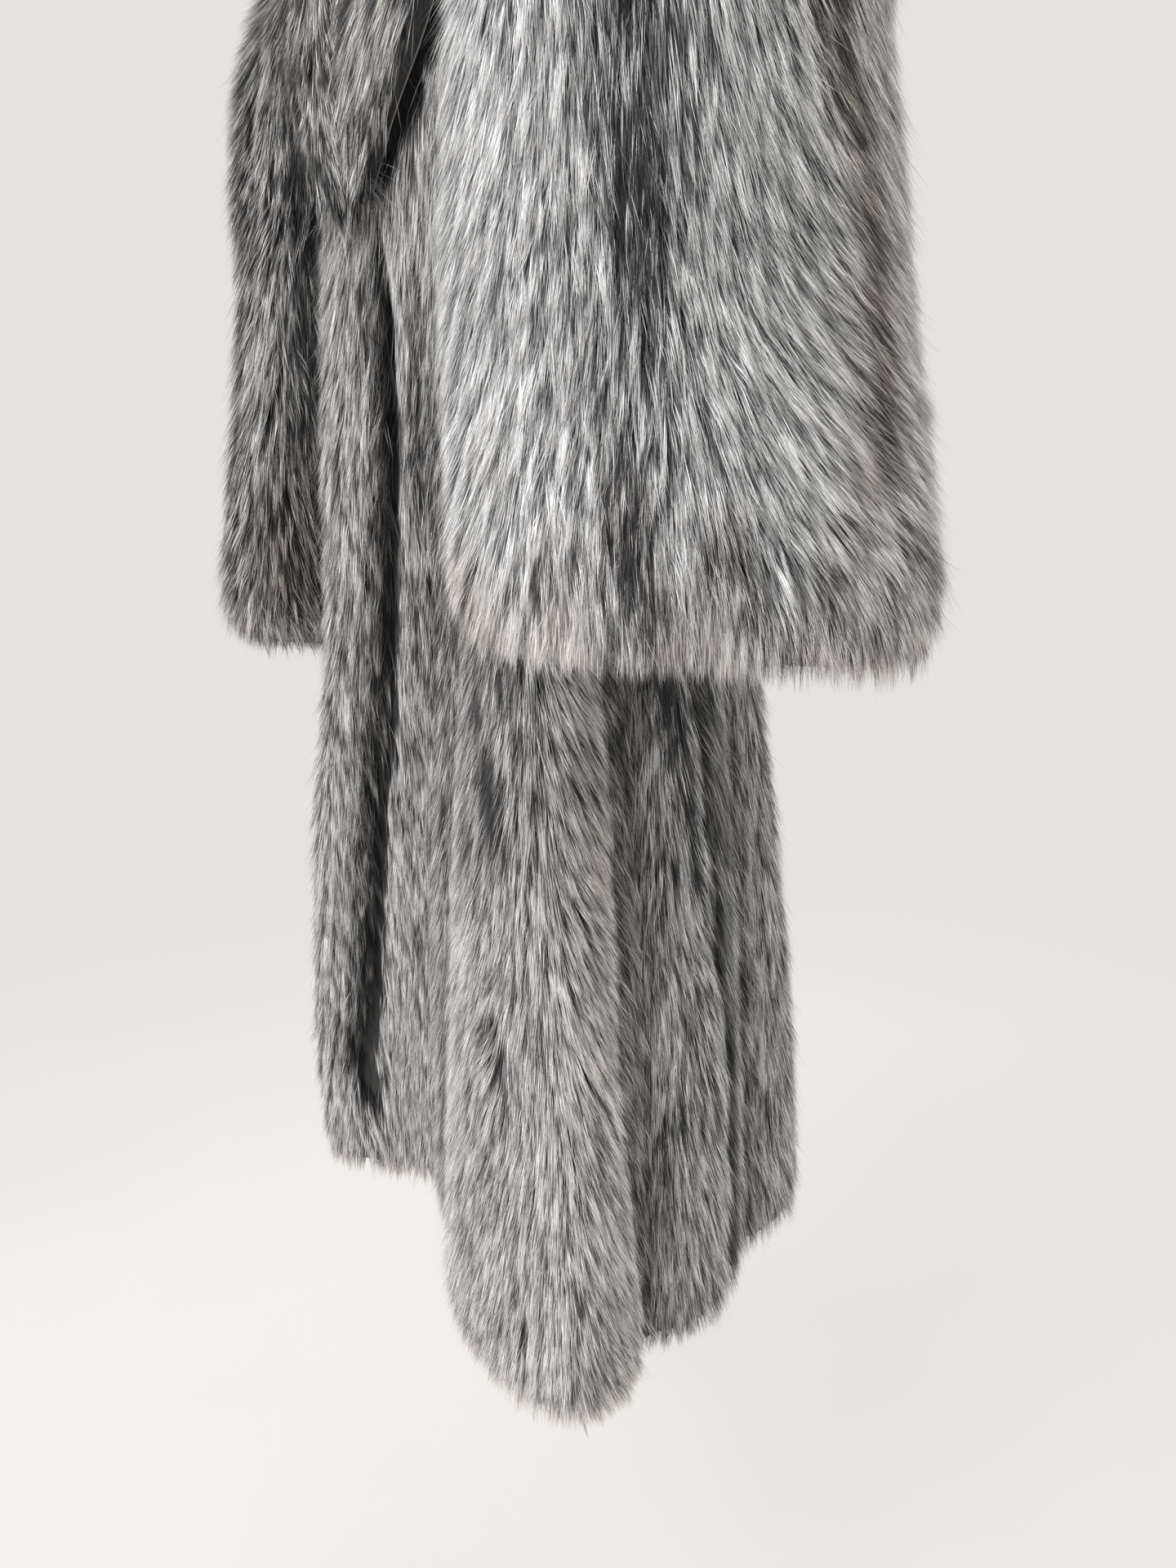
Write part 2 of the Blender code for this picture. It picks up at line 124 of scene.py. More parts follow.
# The collar's stations from the centre back to a lapel's end
stationRow = namedtuple("stationRow", "innerTurn innerLevel outerTurn outerLevel")
collarCut = {
    "stations": [
        stationRow(0.00, 13.00, 0.00, 10.40),
        stationRow(0.26, 13.00, 0.24, 10.45),
        stationRow(0.52, 13.00, 0.46, 11.25),
        stationRow(0.78, 13.00, 0.66, 11.05),
        stationRow(0.96, 12.60, 0.76, 10.30),
        stationRow(0.99, 11.00, 0.80, 9.50),
        stationRow(0.99, 9.80, 0.82, 8.80),
        stationRow(0.99, 8.80, 0.85, 8.20),
        stationRow(0.99, 7.90, 0.91, 7.70),
        stationRow(0.99, 7.40, 0.96, 7.30),
    ],
    "standLevel": 11,  # it begins to stand up where its inner edge passes this level
    "stand": 0.024,
    "lift": 0.005,
    "wall": 0.024,
    "edgeThinning": 0.6,
    "endThinning": 0.5,
}

# How deep each layer lies under the tips, and how far above the edge's tips it stops
layers = {
    "lining": 0.0280,
    "hide": 0.0256,
    "underfurBack": 0.0250,
    "underfurFront": 0.0115,
    "hideAboveHem": 0.038,
    "underfurAboveHem": 0.021,
    "hideAtCuff": {1: 7.30, -1: 7.70},  # levels of the left and right sleeve
    "underfurAtCuff": {1: 7.72, -1: 8.12},
}


def tableColumns(rows, position):
    # Each column at fractional row positions: a cubic through the rows, and straight on past both ends
    values = np.array(rows, float)
    position = np.asarray(position, float)
    inside = np.clip(position, 0, len(rows) - 1)
    low = np.minimum(inside.astype(int), len(rows) - 2)
    part = (inside - low)[..., None]
    before, start, end = values[np.maximum(low - 1, 0)], values[low], values[low + 1]
    after = values[np.minimum(low + 2, len(rows) - 1)]
    slopeIn, slopeOut = (end - before) / 2, (after - start) / 2
    curve = (
        (2 * part**3 - 3 * part**2 + 1) * start
        + (part**3 - 2 * part**2 + part) * slopeIn
        + (3 * part**2 - 2 * part**3) * end
        + (part**3 - part**2) * slopeOut
    )
    endSlope = np.where(position[..., None] < 0, slopeIn, slopeOut)
    curve = curve + (position - inside)[..., None] * endSlope
    return type(rows[0])(*np.moveaxis(curve, -1, 0))


def foldAt(angle):
    # Lean, reach and lift at an angle: a trough is a crease, and a crest is round
    rows = np.array(bodyCut["folds"], float)
    places = np.append(rows[:, 0], rows[0, 0] + 360)
    turned = (np.asarray(angle, float) - places[0]) % 360 + places[0]
    index = np.clip(np.searchsorted(places, turned, side="right") - 1, 0, len(rows) - 1)
    part = (turned - places[index]) / (places[index + 1] - places[index])
    here, following = rows[index], rows[(index + 1) % len(rows)]
    rising = following[..., 2] > here[..., 2]
    fromTrough = np.where(rising, part, 1 - part)
    ease = 0.5 * np.sin(fromTrough * np.pi / 2) + 0.5 * fromTrough**2 * (3 - 2 * fromTrough)
    share = np.where(rising, ease, 1 - ease)
    mixed = here + (following - here) * share[..., None]
    return mixed[..., 1], mixed[..., 2], mixed[..., 3]


def bodyPoint(angle, level):
    # Ellipses of half width by depth round each ring's centre, swollen by the folds. Angle 90 is the back.
    ring = tableColumns(bodyCut["rings"], level)
    lean, reach, lift = foldAt(angle)
    turn = np.radians(angle + lean * (1 - np.clip(ring.sideHeight / bodyCut["chestHeight"], 0, 1)))
    cosine, sine = np.cos(turn), np.sin(turn)
    front = sine < 0
    depth = np.where(front, ring.frontDepth, ring.backDepth)
    middleHeight = np.where(front, ring.frontHeight, ring.backHeight)
    height = ring.sideHeight + (middleHeight - ring.sideHeight) * sine**2
    height = height + lift * np.clip(1 - height / bodyCut["liftHeight"], 0, 1) ** 2
    spread = 1 + ring.foldShare * reach
    x = ring.centreX + ring.halfWidth * cosine * spread
    y = ring.centreY + depth * sine * spread
    return np.stack([x, y, height - bodyCut["hemBelowHook"]], axis=-1)


def sleevePoint(angle, level, side, inset=0.0):
    # Ellipses in planes that swing from the armhole's upright plane to level. Angle 0 is the outer side.
    ring = tableColumns(sleeveCut["rings"], level)
    cosine, sine = np.cos(np.radians(angle)), np.sin(np.radians(angle)) * side
    swing, turn = np.radians(ring.swing), np.radians(ring.turn)
    along = (ring.thickness / 2 - inset) * cosine
    across = (ring.halfDepth - inset) * sine
    out = ring.innerGap + ring.thickness / 2 + along * np.cos(turn) + across * np.sin(turn)
    hang = sleeveCut["hangs"][side]
    down = ring.drop / sleeveCut["rings"][-1].drop
    forward = ring.forward * (hang.underarmShare + (hang.cuffShare - hang.underarmShare) * down)
    back = across * np.cos(turn) - along * np.sin(turn) - forward
    drop = ring.drop + hang.extraDrop * down + ring.backDrop * sine
    underarm = bodyCut["underarmHeight"] - bodyCut["hemBelowHook"]
    x = side * (bodyCut["armholeX"] + bodyCut["seamGap"] + out * np.sin(swing))
    return np.stack([x, back, underarm + out * np.cos(swing) - drop], axis=-1)


def skinFrame(skin, u, v, facing=1.0, stepU=0.25, stepV=0.01):
    # A skin's point, its steps along u and along v, and its outward unit normal, from small differences
    alongU = (skin(u + stepU, v) - skin(u - stepU, v)) / (2 * stepU)
    alongV = (skin(u, v + stepV) - skin(u, v - stepV)) / (2 * stepV)
    normal = np.cross(alongU, alongV) * facing
    normal = normal / np.maximum(np.linalg.norm(normal, axis=-1, keepdims=True), 1e-12)
    return skin(u, v), alongU, alongV, normal


def bodyNormal(angle, level):
    return skinFrame(bodyPoint, angle, level)[3]


def collarPlace(along, across):
    # Where on the body the collar lies, how far its stand lifts it, and how thick it is there
    stations = collarCut["stations"]
    station = tableColumns(stations, np.abs(along) * (len(stations) - 1))
    turn = station.innerTurn + (station.outerTurn - station.innerTurn) * across
    level = station.innerLevel + (station.outerLevel - station.innerLevel) * across
    level = np.minimum(level, bodyCut["neckLevel"])
    wholeTurn = np.where(along < 0, 450 - bodyCut["opening"], bodyCut["opening"] - 90)
    angle = 90 + np.sign(along) * turn * wholeTurn
    standing = (station.innerLevel - collarCut["standLevel"]) / (bodyCut["neckLevel"] - collarCut["standLevel"])
    rise = collarCut["stand"] * (1 - across) ** 2 * np.clip(standing, 0, 1)
    width = np.clip(across, 0, 1)
    thinning = collarCut["edgeThinning"] * (2 * width - 1) ** 4
    ends = collarCut["endThinning"] * np.clip(np.abs(along), 0, 1) ** 6
    return angle, level, rise, collarCut["wall"] * (1 - thinning) * (1 - ends)


def collarPoint(along, across, share=1.0):
    # The body's own skin moved out by the collar's lift and by a share of its thickness, then raised
    angle, level, rise, thickness = collarPlace(along, across)
    away = collarCut["lift"] + share * thickness
    point = bodyPoint(angle, level) + away[..., None] * bodyNormal(angle, level)
    point[..., 2] += rise
    return point


def softNoise(points, scale, seed, waves=8):
    # Sines that run in random directions, added up to about one unit high
    dice = np.random.default_rng(seed)
    heading = dice.normal(size=(waves, 3))
    heading /= np.linalg.norm(heading, axis=1, keepdims=True)
    frequency = 2 * np.pi / (scale * dice.uniform(0.7, 1.7, waves))
    phase = dice.uniform(0, 2 * np.pi, waves)
    return np.sin(points @ (heading * frequency[:, None]).T + phase).sum(-1) / np.sqrt(waves)


def smoothStep(low, high, value):
    part = np.clip((value - low) / (high - low), 0, 1)
    return part * part * (3 - 2 * part)


def bump(value, centre, halfWidth, period=360.0):
    # A round hill, 1 at the centre and 0.37 at half width, on a circle of the given period
    away = (value - centre + period / 2) % period - period / 2
    return np.exp(-((away / halfWidth) ** 2))


def linked(nodes, links, kind, inputs=(), **settings):
    # One shader node with its settings, and each input given as a value or as another node's output
    node = nodes.new(kind)
    for name, value in settings.items():
        setattr(node, name, value)
    for key, value in dict(inputs).items():
        if isinstance(value, bpy.types.NodeSocket):
            links.new(value, node.inputs[key])
        else:
            node.inputs[key].default_value = value
    return node


def blankMaterial(name, **shaderValues):
    # A material with one Principled shader, whose constant values are set on its own sockets
    material = bpy.data.materials.new(name)
    material.use_nodes = True
    shader = material.node_tree.nodes["Principled BSDF"]
    for socket, value in shaderValues.items():
        shader.inputs[socket.replace("_", " ")].default_value = value
    return material, material.node_tree.nodes, material.node_tree.links, shader


def colourRamp(nodes, links, factor, stops):
    ramp = linked(nodes, links, "ShaderNodeValToRGB", {"Fac": factor})
    elements = ramp.color_ramp.elements
    while len(elements) < len(stops):
        elements.new(0.5)
    for element, (place, colour) in zip(elements, stops):
        element.position = place
        element.color = (*colour, 1)
    return ramp.outputs["Color"]


def maths(nodes, links, operation, first, second=0.0, clamp=False):
    inputs = {0: first, 1: second}
    return linked(nodes, links, "ShaderNodeMath", inputs, operation=operation, use_clamp=clamp).outputs[0]


def blendColours(nodes, links, factor, first, second, mode="MIX"):
    # The Mix node's colour sockets are 6 and 7, and its colour output is 2
    inputs = {0: factor, 6: first, 7: second}
    return linked(nodes, links, "ShaderNodeMix", inputs, data_type="RGBA", blend_type=mode).outputs[2]


# Colours along a guard hair, from its root to its tip
furColours = {
    "silver": [
        (0.00, (0.014, 0.013, 0.014)),
        (0.44, (0.036, 0.035, 0.038)),
        (0.60, (0.300, 0.296, 0.300)),
        (0.74, (0.820, 0.812, 0.802)),
        (0.92, (0.760, 0.744, 0.726)),
        (1.00, (0.500, 0.480, 0.460)),
    ],
    "dark": [
        (0.00, (0.008, 0.008, 0.009)),
        (0.45, (0.012, 0.012, 0.013)),
        (0.75, (0.042, 0.041, 0.044)),
        (1.00, (0.034, 0.034, 0.036)),
    ],
    "brownTint": (0.72, 0.63, 0.54),
    "creamTint": (0.590, 0.538, 0.480),
    "lockShift": 0.12,
    "hairShift": 0.10,
    "darkShare": 0.21,  # share of dark guard hairs in the palest fur
    "darkGain": 0.64,  # how many more there are in the darkest
    "roughness": 0.50,
}


def guardHairMaterial(name, lightness, cast=(1.0, 1.0, 1.0)):
    # Reads strand = (place along the hair, the hair's chance to be dark, its tone, which carries painted shade) and
    # pelt = (dark, brown, cream), whose dark carries painted shade too
    silverStops = [(place, tuple(np.multiply(colour, cast))) for place, colour in furColours["silver"]]
    material, nodes, links, shader = blankMaterial(name, Roughness=furColours["roughness"], Sheen_Weight=0.12)
    shader.inputs["Specular IOR Level"].default_value = 0.35
    strand = linked(nodes, links, "ShaderNodeAttribute", attribute_name="strand")
    pelt = linked(nodes, links, "ShaderNodeAttribute", attribute_name="pelt")
    along, chance, lock = linked(nodes, links, "ShaderNodeSeparateXYZ", {0: strand.outputs["Vector"]}).outputs
    dark, brown, cream = linked(nodes, links, "ShaderNodeSeparateXYZ", {0: pelt.outputs["Vector"]}).outputs
    # The pale band lies a little higher or lower on each lock and each hair
    shift = maths(nodes, links, "MULTIPLY_ADD", lock, furColours["lockShift"])
    links.new(maths(nodes, links, "MULTIPLY", chance, furColours["hairShift"]), shift.node.inputs[2])
    middleShift = (furColours["lockShift"] + furColours["hairShift"]) / 2
    shifted = maths(nodes, links, "ADD", along, maths(nodes, links, "SUBTRACT", shift, middleShift))
    silver = colourRamp(nodes, links, shifted, silverStops)
    black = colourRamp(nodes, links, along, furColours["dark"])
    share = maths(nodes, links, "MULTIPLY_ADD", dark, furColours["darkGain"])
    share.node.inputs[2].default_value = furColours["darkShare"]
    over = maths(nodes, links, "SUBTRACT", share, chance)
    isDark = maths(nodes, links, "MULTIPLY_ADD", over, 7.0, clamp=True)
    isDark.node.inputs[2].default_value = 0.5
    colour = blendColours(nodes, links, isDark, silver, black)
    browned = blendColours(nodes, links, 1.0, colour, (*furColours["brownTint"], 1), "MULTIPLY")
    colour = blendColours(nodes, links, brown, colour, browned)
    paleShare = maths(nodes, links, "MULTIPLY_ADD", isDark, -0.6)
    paleShare.node.inputs[2].default_value = 1.0
    creamHere = maths(nodes, links, "MULTIPLY", cream, paleShare)
    tips = maths(nodes, links, "MULTIPLY", creamHere, smoothShare(nodes, links, along))
    colour = blendColours(nodes, links, tips, colour, (*furColours["creamTint"], 1))
    tone = maths(nodes, links, "MULTIPLY_ADD", lock, 0.90 * lightness)
    tone.node.inputs[2].default_value = 0.40 * lightness
    toned = linked(nodes, links, "ShaderNodeVectorMath", {0: colour, 3: tone}, operation="SCALE")
    links.new(toned.outputs[0], shader.inputs["Base Color"])
    return material


def smoothShare(nodes, links, along):
    # 0 at the root and 1 over the outer third of the hair
    spread = linked(nodes, links, "ShaderNodeMapRange", {0: along, 1: 0.3, 2: 0.8}, interpolation_type="SMOOTHSTEP")
    return spread.outputs[0]


def streakyMaterial(name, colours, roughness, streak=(260.0, 260.0, 18.0)):
    # Short soft wool: noise drawn out down the coat, with a bump from the same noise
    material, nodes, links, shader = blankMaterial(name, Roughness=roughness, Sheen_Weight=0.2)
    place = linked(nodes, links, "ShaderNodeTexCoord").outputs["Object"]
    stretched = linked(nodes, links, "ShaderNodeMapping", {"Vector": place, "Scale": streak}).outputs[0]
    noise = linked(nodes, links, "ShaderNodeTexNoise", {"Vector": stretched, "Scale": 1.0, "Detail": 4.0})
    links.new(colourRamp(nodes, links, noise.outputs[0], colours), shader.inputs["Base Color"])
    relief = linked(nodes, links, "ShaderNodeBump", {"Height": noise.outputs[0], "Strength": 0.6, "Distance": 0.002})
    links.new(relief.outputs[0], shader.inputs["Normal"])
    return material


def liningMaterial():
    # Satin: fine slanting threads, with soft broad creases in the bump and in the gloss, and painted shade along them
    # in the colour
    material, nodes, links, shader = blankMaterial("lining_satin", Roughness=0.42, Sheen_Weight=0.3)
    shader.inputs["Anisotropic"].default_value = 0.4
    place = linked(nodes, links, "ShaderNodeTexCoord").outputs["Object"]
    turned = linked(nodes, links, "ShaderNodeMapping", {"Vector": place, "Rotation": (0.5, 0.3, 0.4)}).outputs[0]
    threads = linked(nodes, links, "ShaderNodeTexWave", {"Vector": turned, "Scale": 700.0, "Distortion": 0.6})
    creases = linked(nodes, links, "ShaderNodeTexNoise", {"Vector": place, "Scale": 9.0, "Detail": 3.0})
    # Painted shade: the colour is darker in some creases and paler on others
    colour = colourRamp(
        nodes, links, creases.outputs[0], [(0.3, (0.040, 0.034, 0.034)), (0.7, (0.085, 0.073, 0.072))]
    )
    links.new(colour, shader.inputs["Base Color"])
    gloss = linked(nodes, links, "ShaderNodeMapRange", {0: creases.outputs[0], 3: 0.34, 4: 0.52})
    links.new(gloss.outputs[0], shader.inputs["Roughness"])
    relief = linked(nodes, links, "ShaderNodeBump", {"Height": threads.outputs[0], "Strength": 0.15, "Distance": 2e-4})
    folds = {"Height": creases.outputs[0], "Strength": 0.35, "Distance": 0.006, "Normal": relief.outputs[0]}
    creased = linked(nodes, links, "ShaderNodeBump", folds)
    links.new(creased.outputs[0], shader.inputs["Normal"])
    return material


def woodMaterial():
    # Grain rings drawn out along the bar, under varnish
    material, nodes, links, shader = blankMaterial("hanger_wood", Roughness=0.38, Coat_Weight=0.35, Coat_Roughness=0.2)
    place = linked(nodes, links, "ShaderNodeTexCoord").outputs["Object"]
    drawn = linked(nodes, links, "ShaderNodeMapping", {"Vector": place, "Scale": (1.6, 14.0, 14.0)}).outputs[0]
    grain = linked(
        nodes, links, "ShaderNodeTexWave", {"Vector": drawn, "Scale": 3.2, "Distortion": 5.0, "Detail": 3.0}
    )
    pores = linked(nodes, links, "ShaderNodeTexNoise", {"Vector": drawn, "Scale": 38.0, "Detail": 6.0})
    mixed = blendColours(nodes, links, 0.3, grain.outputs["Color"], pores.outputs["Color"])
    stops = [(0.15, (0.27, 0.135, 0.058)), (0.5, (0.43, 0.245, 0.115)), (0.9, (0.54, 0.335, 0.175))]
    links.new(colourRamp(nodes, links, mixed, stops), shader.inputs["Base Color"])
    relief = linked(nodes, links, "ShaderNodeBump", {"Height": pores.outputs[0], "Strength": 0.2, "Distance": 3e-4})
    links.new(relief.outputs[0], shader.inputs["Normal"])
    return material


def wireMaterial():
    # Polished steel with fine drawing lines along the wire
    material, nodes, links, shader = blankMaterial("hook_steel", Metallic=1.0, Roughness=0.22)
    place = linked(nodes, links, "ShaderNodeTexCoord").outputs["Object"]
    noise = linked(nodes, links, "ShaderNodeTexNoise", {"Vector": place, "Scale": 420.0, "Detail": 2.0})
    stops = [(0.35, (0.50, 0.50, 0.515)), (0.7, (0.68, 0.68, 0.69))]
    links.new(colourRamp(nodes, links, noise.outputs[0], stops), shader.inputs["Base Color"])
    gloss = linked(nodes, links, "ShaderNodeMapRange", {0: noise.outputs[0], 3: 0.16, 4: 0.34})
    links.new(gloss.outputs[0], shader.inputs["Roughness"])
    return material


def newObject(name, mesh, materials):
    for material in materials:
        mesh.materials.append(material)
    mesh.shade_smooth()
    item = bpy.data.objects.new(name, mesh)
    bpy.context.scene.collection.objects.link(item)
    return item


def gridWall(name, front, back, closedRound, materials, flip=False):
    # A closed wall between two grids of points, rows by columns: both faces, and strips round the open edges
    rows, columns = front.shape[:2]
    points = np.concatenate([front.reshape(-1, 3), back.reshape(-1, 3)])
    index = np.arange(rows * columns).reshape(rows, columns)
    right = np.roll(index, -1, axis=1)
    spans = slice(None) if closedRound else slice(0, columns - 1)
    quads = np.stack([index[:-1, spans], right[:-1, spans], right[1:, spans], index[1:, spans]], -1).reshape(-1, 4)
    other = quads[:, ::-1] + rows * columns
    faces = [quads, other]
    for row, order in ((0, (1, 0)), (rows - 1, (0, 1))):
        ends = np.stack([index[row, spans], right[row, spans]], -1)[:, order]
        faces.append(np.concatenate([ends, ends[:, ::-1] + rows * columns], -1))
    if not closedRound:
        for column, order in ((0, (0, 1)), (columns - 1, (1, 0))):
            ends = np.stack([index[:-1, column], index[1:, column]], -1)[:, order]
            faces.append(np.concatenate([ends, ends[:, ::-1] + rows * columns], -1))
    slots = np.concatenate([np.full(len(part), 1 if number == 1 else 0) for number, part in enumerate(faces)])
    faces = np.concatenate(faces)
    if flip:
        faces = faces[:, ::-1]
    mesh = meshOf(name, points, faces)
    if len(materials) > 1:
        mesh.polygons.foreach_set("material_index", slots.astype(np.int32))
    return newObject(name, mesh, materials)


def meshOf(name, points, faces):
    # A mesh from an array of points and an array of faces that all have the same number of corners
    mesh = bpy.data.meshes.new(name)
    count, corners = faces.shape
    mesh.vertices.add(len(points))
    mesh.vertices.foreach_set("co", np.ascontiguousarray(points, np.float32).ravel())
    mesh.loops.add(count * corners)
    mesh.loops.foreach_set("vertex_index", np.ascontiguousarray(faces, np.int32).ravel())
    mesh.polygons.add(count)
    mesh.polygons.foreach_set("loop_start", np.arange(0, count * corners, corners, dtype=np.int32))
    mesh.update(calc_edges=True)
    return mesh


def cutAtArmhole(item, side):
    # Takes away what lies beyond one armhole's plane
    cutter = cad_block(side)
    cut = item.modifiers.new("armhole", "BOOLEAN")
    cut.operation = "DIFFERENCE"
    cut.object = cutter
    bpy.context.view_layer.update()
    shown = item.evaluated_get(bpy.context.evaluated_depsgraph_get())
    mesh = bpy.data.meshes.new_from_object(shown)
    item.modifiers.clear()
    old = item.data
    item.data = mesh
    mesh.name = item.name
    bpy.data.meshes.remove(old)
    bpy.data.objects.remove(cutter)


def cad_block(side):
    low = bodyCut["underarmHeight"] - bodyCut["hemBelowHook"] - bodyCut["armholeEase"]
    lowCorner = np.array([min(side * bodyCut["armholeX"], side * 0.6), -0.4, low])
    highCorner = np.array([max(side * bodyCut["armholeX"], side * 0.6), 0.4, 0.05])
    corners = np.array([[x, y, z] for z in (0, 1) for y in (0, 1) for x in (0, 1)])
    points = lowCorner + corners * (highCorner - lowCorner)
    faces = np.array([[0, 2, 3, 1], [4, 5, 7, 6], [0, 1, 5, 4], [2, 6, 7, 3], [0, 4, 6, 2], [1, 3, 7, 5]])
    return newObject("armhole_block", meshOf("armhole_block", points, faces), [])


def spreadPlaces(count, weights, lowU, highU, lowV, highV, seed):
    # Even places over a grid of weights: a two-number low-discrepancy series, bent by the weights' sums
    shift = np.random.default_rng(seed).uniform(size=2)
    index = np.arange(count)
    golden = 1.32471795724
    a = (shift[0] + index / golden) % 1
    b = (shift[1] + index / golden**2) % 1
    rowSums = weights.sum(1)
    rowEdges = np.append(0, np.cumsum(rowSums)) / rowSums.sum()
    row = np.interp(a, rowEdges, np.arange(len(rowEdges)))
    low = np.minimum(row.astype(int), len(rowSums) - 1)
    columnEdges = np.cumsum(weights, axis=1) / np.maximum(rowSums[:, None], 1e-12)
    columnEdges = np.concatenate([np.zeros((len(rowSums), 1)), columnEdges], axis=1)
    flat = (columnEdges + np.arange(len(rowSums))[:, None] * 2).ravel()
    place = np.searchsorted(flat, b + low * 2, side="right") - 1
    column = place - low * columnEdges.shape[1]
    span = flat[place + 1] - flat[place]
    column = column + (b + low * 2 - flat[place]) / np.maximum(span, 1e-12)
    u = lowU + (highU - lowU) * column / weights.shape[1]
    v = lowV + (highV - lowV) * row / weights.shape[0]
    return u, v


def combed(normal, sweep):
    # Straight down over the skin, turned by sweep degrees towards the side where u grows
    down = np.array([0.0, 0.0, -1.0]) + normal * normal[..., 2:3]
    down = down / np.maximum(np.linalg.norm(down, axis=-1, keepdims=True), 1e-6)
    side = np.cross(normal, down)
    turn = np.radians(sweep)[..., None]
    return np.cos(turn) * down + np.sin(turn) * side


def stepOver(frameHere, u, v, direction, distance):
    # The change of u and v that moves a place by a distance along a direction that lies in the skin
    alongU, alongV = frameHere[1], frameHere[2]
    uu, uv, vv = [(a * b).sum(-1) for a, b in ((alongU, alongU), (alongU, alongV), (alongV, alongV))]
    onU, onV = (direction * alongU).sum(-1), (direction * alongV).sum(-1)
    area = np.maximum(uu * vv - uv * uv, 1e-14)
    return u + distance * (onU * vv - onV * uv) / area, v + distance * (onV * uu - onU * uv) / area


def growFur(name, skin, facing, region, coat, fields, materials, seed, steps=(0.25, 0.01)):
    # Locks of hairs. Each hair is one long thin triangle: a wide root down in the wool, and a pointed tip.
    dice = np.random.default_rng(seed)
    lowU, highU, lowV, highV = region
    # Area of each cell of the region, times how dense the fur is there
    rows, columns = 140, 240
    cellU = lowU + (np.arange(columns) + 0.5) * (highU - lowU) / columns
    cellV = lowV + (np.arange(rows) + 0.5) * (highV - lowV) / rows
    gridU, gridV = np.meshgrid(cellU, cellV)
    point, alongU, alongV, normal = skinFrame(skin, gridU, gridV, facing, *steps)
    weights = np.linalg.norm(np.cross(alongU, alongV), axis=-1) * fields["density"](gridU, gridV, point)
    hairs = coat["hairs"] // 1
    perLock = coat["hairsPerLock"]
    locks = hairs // perLock
    u, v = spreadPlaces(locks, weights, lowU, highU, lowV, highV, seed)
    area = weights.sum() * (highU - lowU) / columns * (highV - lowV) / rows
    spacing = np.sqrt(area / locks)

    # A lock's own line follows the combing in two steps, from its root by its middle to its tip
    root = skinFrame(skin, u, v, facing, *steps)
    length = coat["length"] * np.clip(dice.normal(1, coat["lengthSpread"], locks), 0.5, 1.5)
    room = fields["room"](u, v, root[0]) + dice.normal(*coat["pastEdge"], locks)
    atEdge = length > room
    length = np.minimum(length, np.maximum(room, coat["shortest"]))
    turn = dice.normal(0, coat["lockTurn"], locks)
    rootDown = combed(root[3], fields["sweep"](u, v, root[0]) + turn)
    middleU, middleV = stepOver(root, u, v, rootDown, length / 2)
    middle = skinFrame(skin, middleU, middleV, facing, *steps)
    tipDown = combed(middle[3], fields["sweep"](middleU, middleV, middle[0]) + turn)
    tipU, tipV = stepOver(middle, middleU, middleV, tipDown, length / 2)
    tip = skinFrame(skin, tipU, tipV, facing, *steps)

    # Neighbouring locks gather into tufts: their tips slide up the slopes of a noise drawn out down the coat
    stretch = np.array([1, 1, coat["tuftStretch"]])
    near = coat["tuftSize"] / 20
    tuft, besideTuft, belowTuft = [
        softNoise((tip[0] + near * step) * stretch, coat["tuftSize"], seed)
        for step in (0, np.cross(tip[3], tipDown), tipDown)
    ]
    pull = coat["tuftPull"] * (coat["tuftSize"] / (2 * np.pi)) ** 2 / near
    slide = (besideTuft - tuft)[:, None] * np.cross(tip[3], tipDown)
    slide = pull * (slide + (belowTuft - tuft)[:, None] * tipDown / coat["tuftStretch"])
    tipU, tipV = stepOver(tip, tipU, tipV, slide, 1.0)
    tip = skinFrame(skin, tipU, tipV, facing, *steps)
    tuft = softNoise(tip[0] * stretch, coat["tuftSize"], seed)

    # Hairs start round their lock's root, in a patch drawn out along the combing, and draw together at its tip
    hairs = locks * perLock
    lock = np.repeat(np.arange(locks), perLock)
    aside = dice.uniform(-1, 1, hairs) * coat["lockWidth"] * spacing
    ahead = dice.uniform(-1, 1, hairs) * coat["lockStretch"] * spacing
    stray = dice.uniform(0, 1, hairs) < coat["strays"]
    veer = np.radians(dice.normal(0, 1, hairs) * np.where(stray, coat["strayTurn"], coat["hairTurn"]))
    hairLength = length[lock] * np.clip(dice.normal(1, 0.10, hairs), 0.6, 1.4)
    hairLength = hairLength + atEdge[lock] * dice.normal(0, coat["fringe"], hairs)
    rootPlace = offsetPlace(root, u, v, rootDown, lock, aside, ahead)
    asideAtTip = aside * np.where(stray, 1.0, 1 - coat["clump"]) + hairLength * veer
    tipPlace = offsetPlace(tip, tipU, tipV, tipDown, lock, asideAtTip, ahead + hairLength - length[lock])

    rootSkin, tipSkin = skin(*rootPlace), skin(*tipPlace)
    loft = fields["loft"](u, v, root[0])[lock]
    raised = dice.normal(0, 1, locks)
    lift = (tuft * coat["tuftLift"] + raised * coat["lockLift"])[lock]
    lift = lift + dice.normal(0, coat["hairLift"], hairs)
    lift = lift + stray * dice.uniform(0, 1, hairs) ** 2 * coat["strayLift"]
    rootDepth = coat["rootDepth"] * loft + 0.4 * fields["hollow"](*rootPlace, rootSkin)
    tipDepth = coat["tipDepth"] + fields["hollow"](*tipPlace, tipSkin) - lift
    rootPoint = rootSkin - rootDepth[:, None] * root[3][lock]
    tipPoint = tipSkin - tipDepth[:, None] * tip[3][lock]

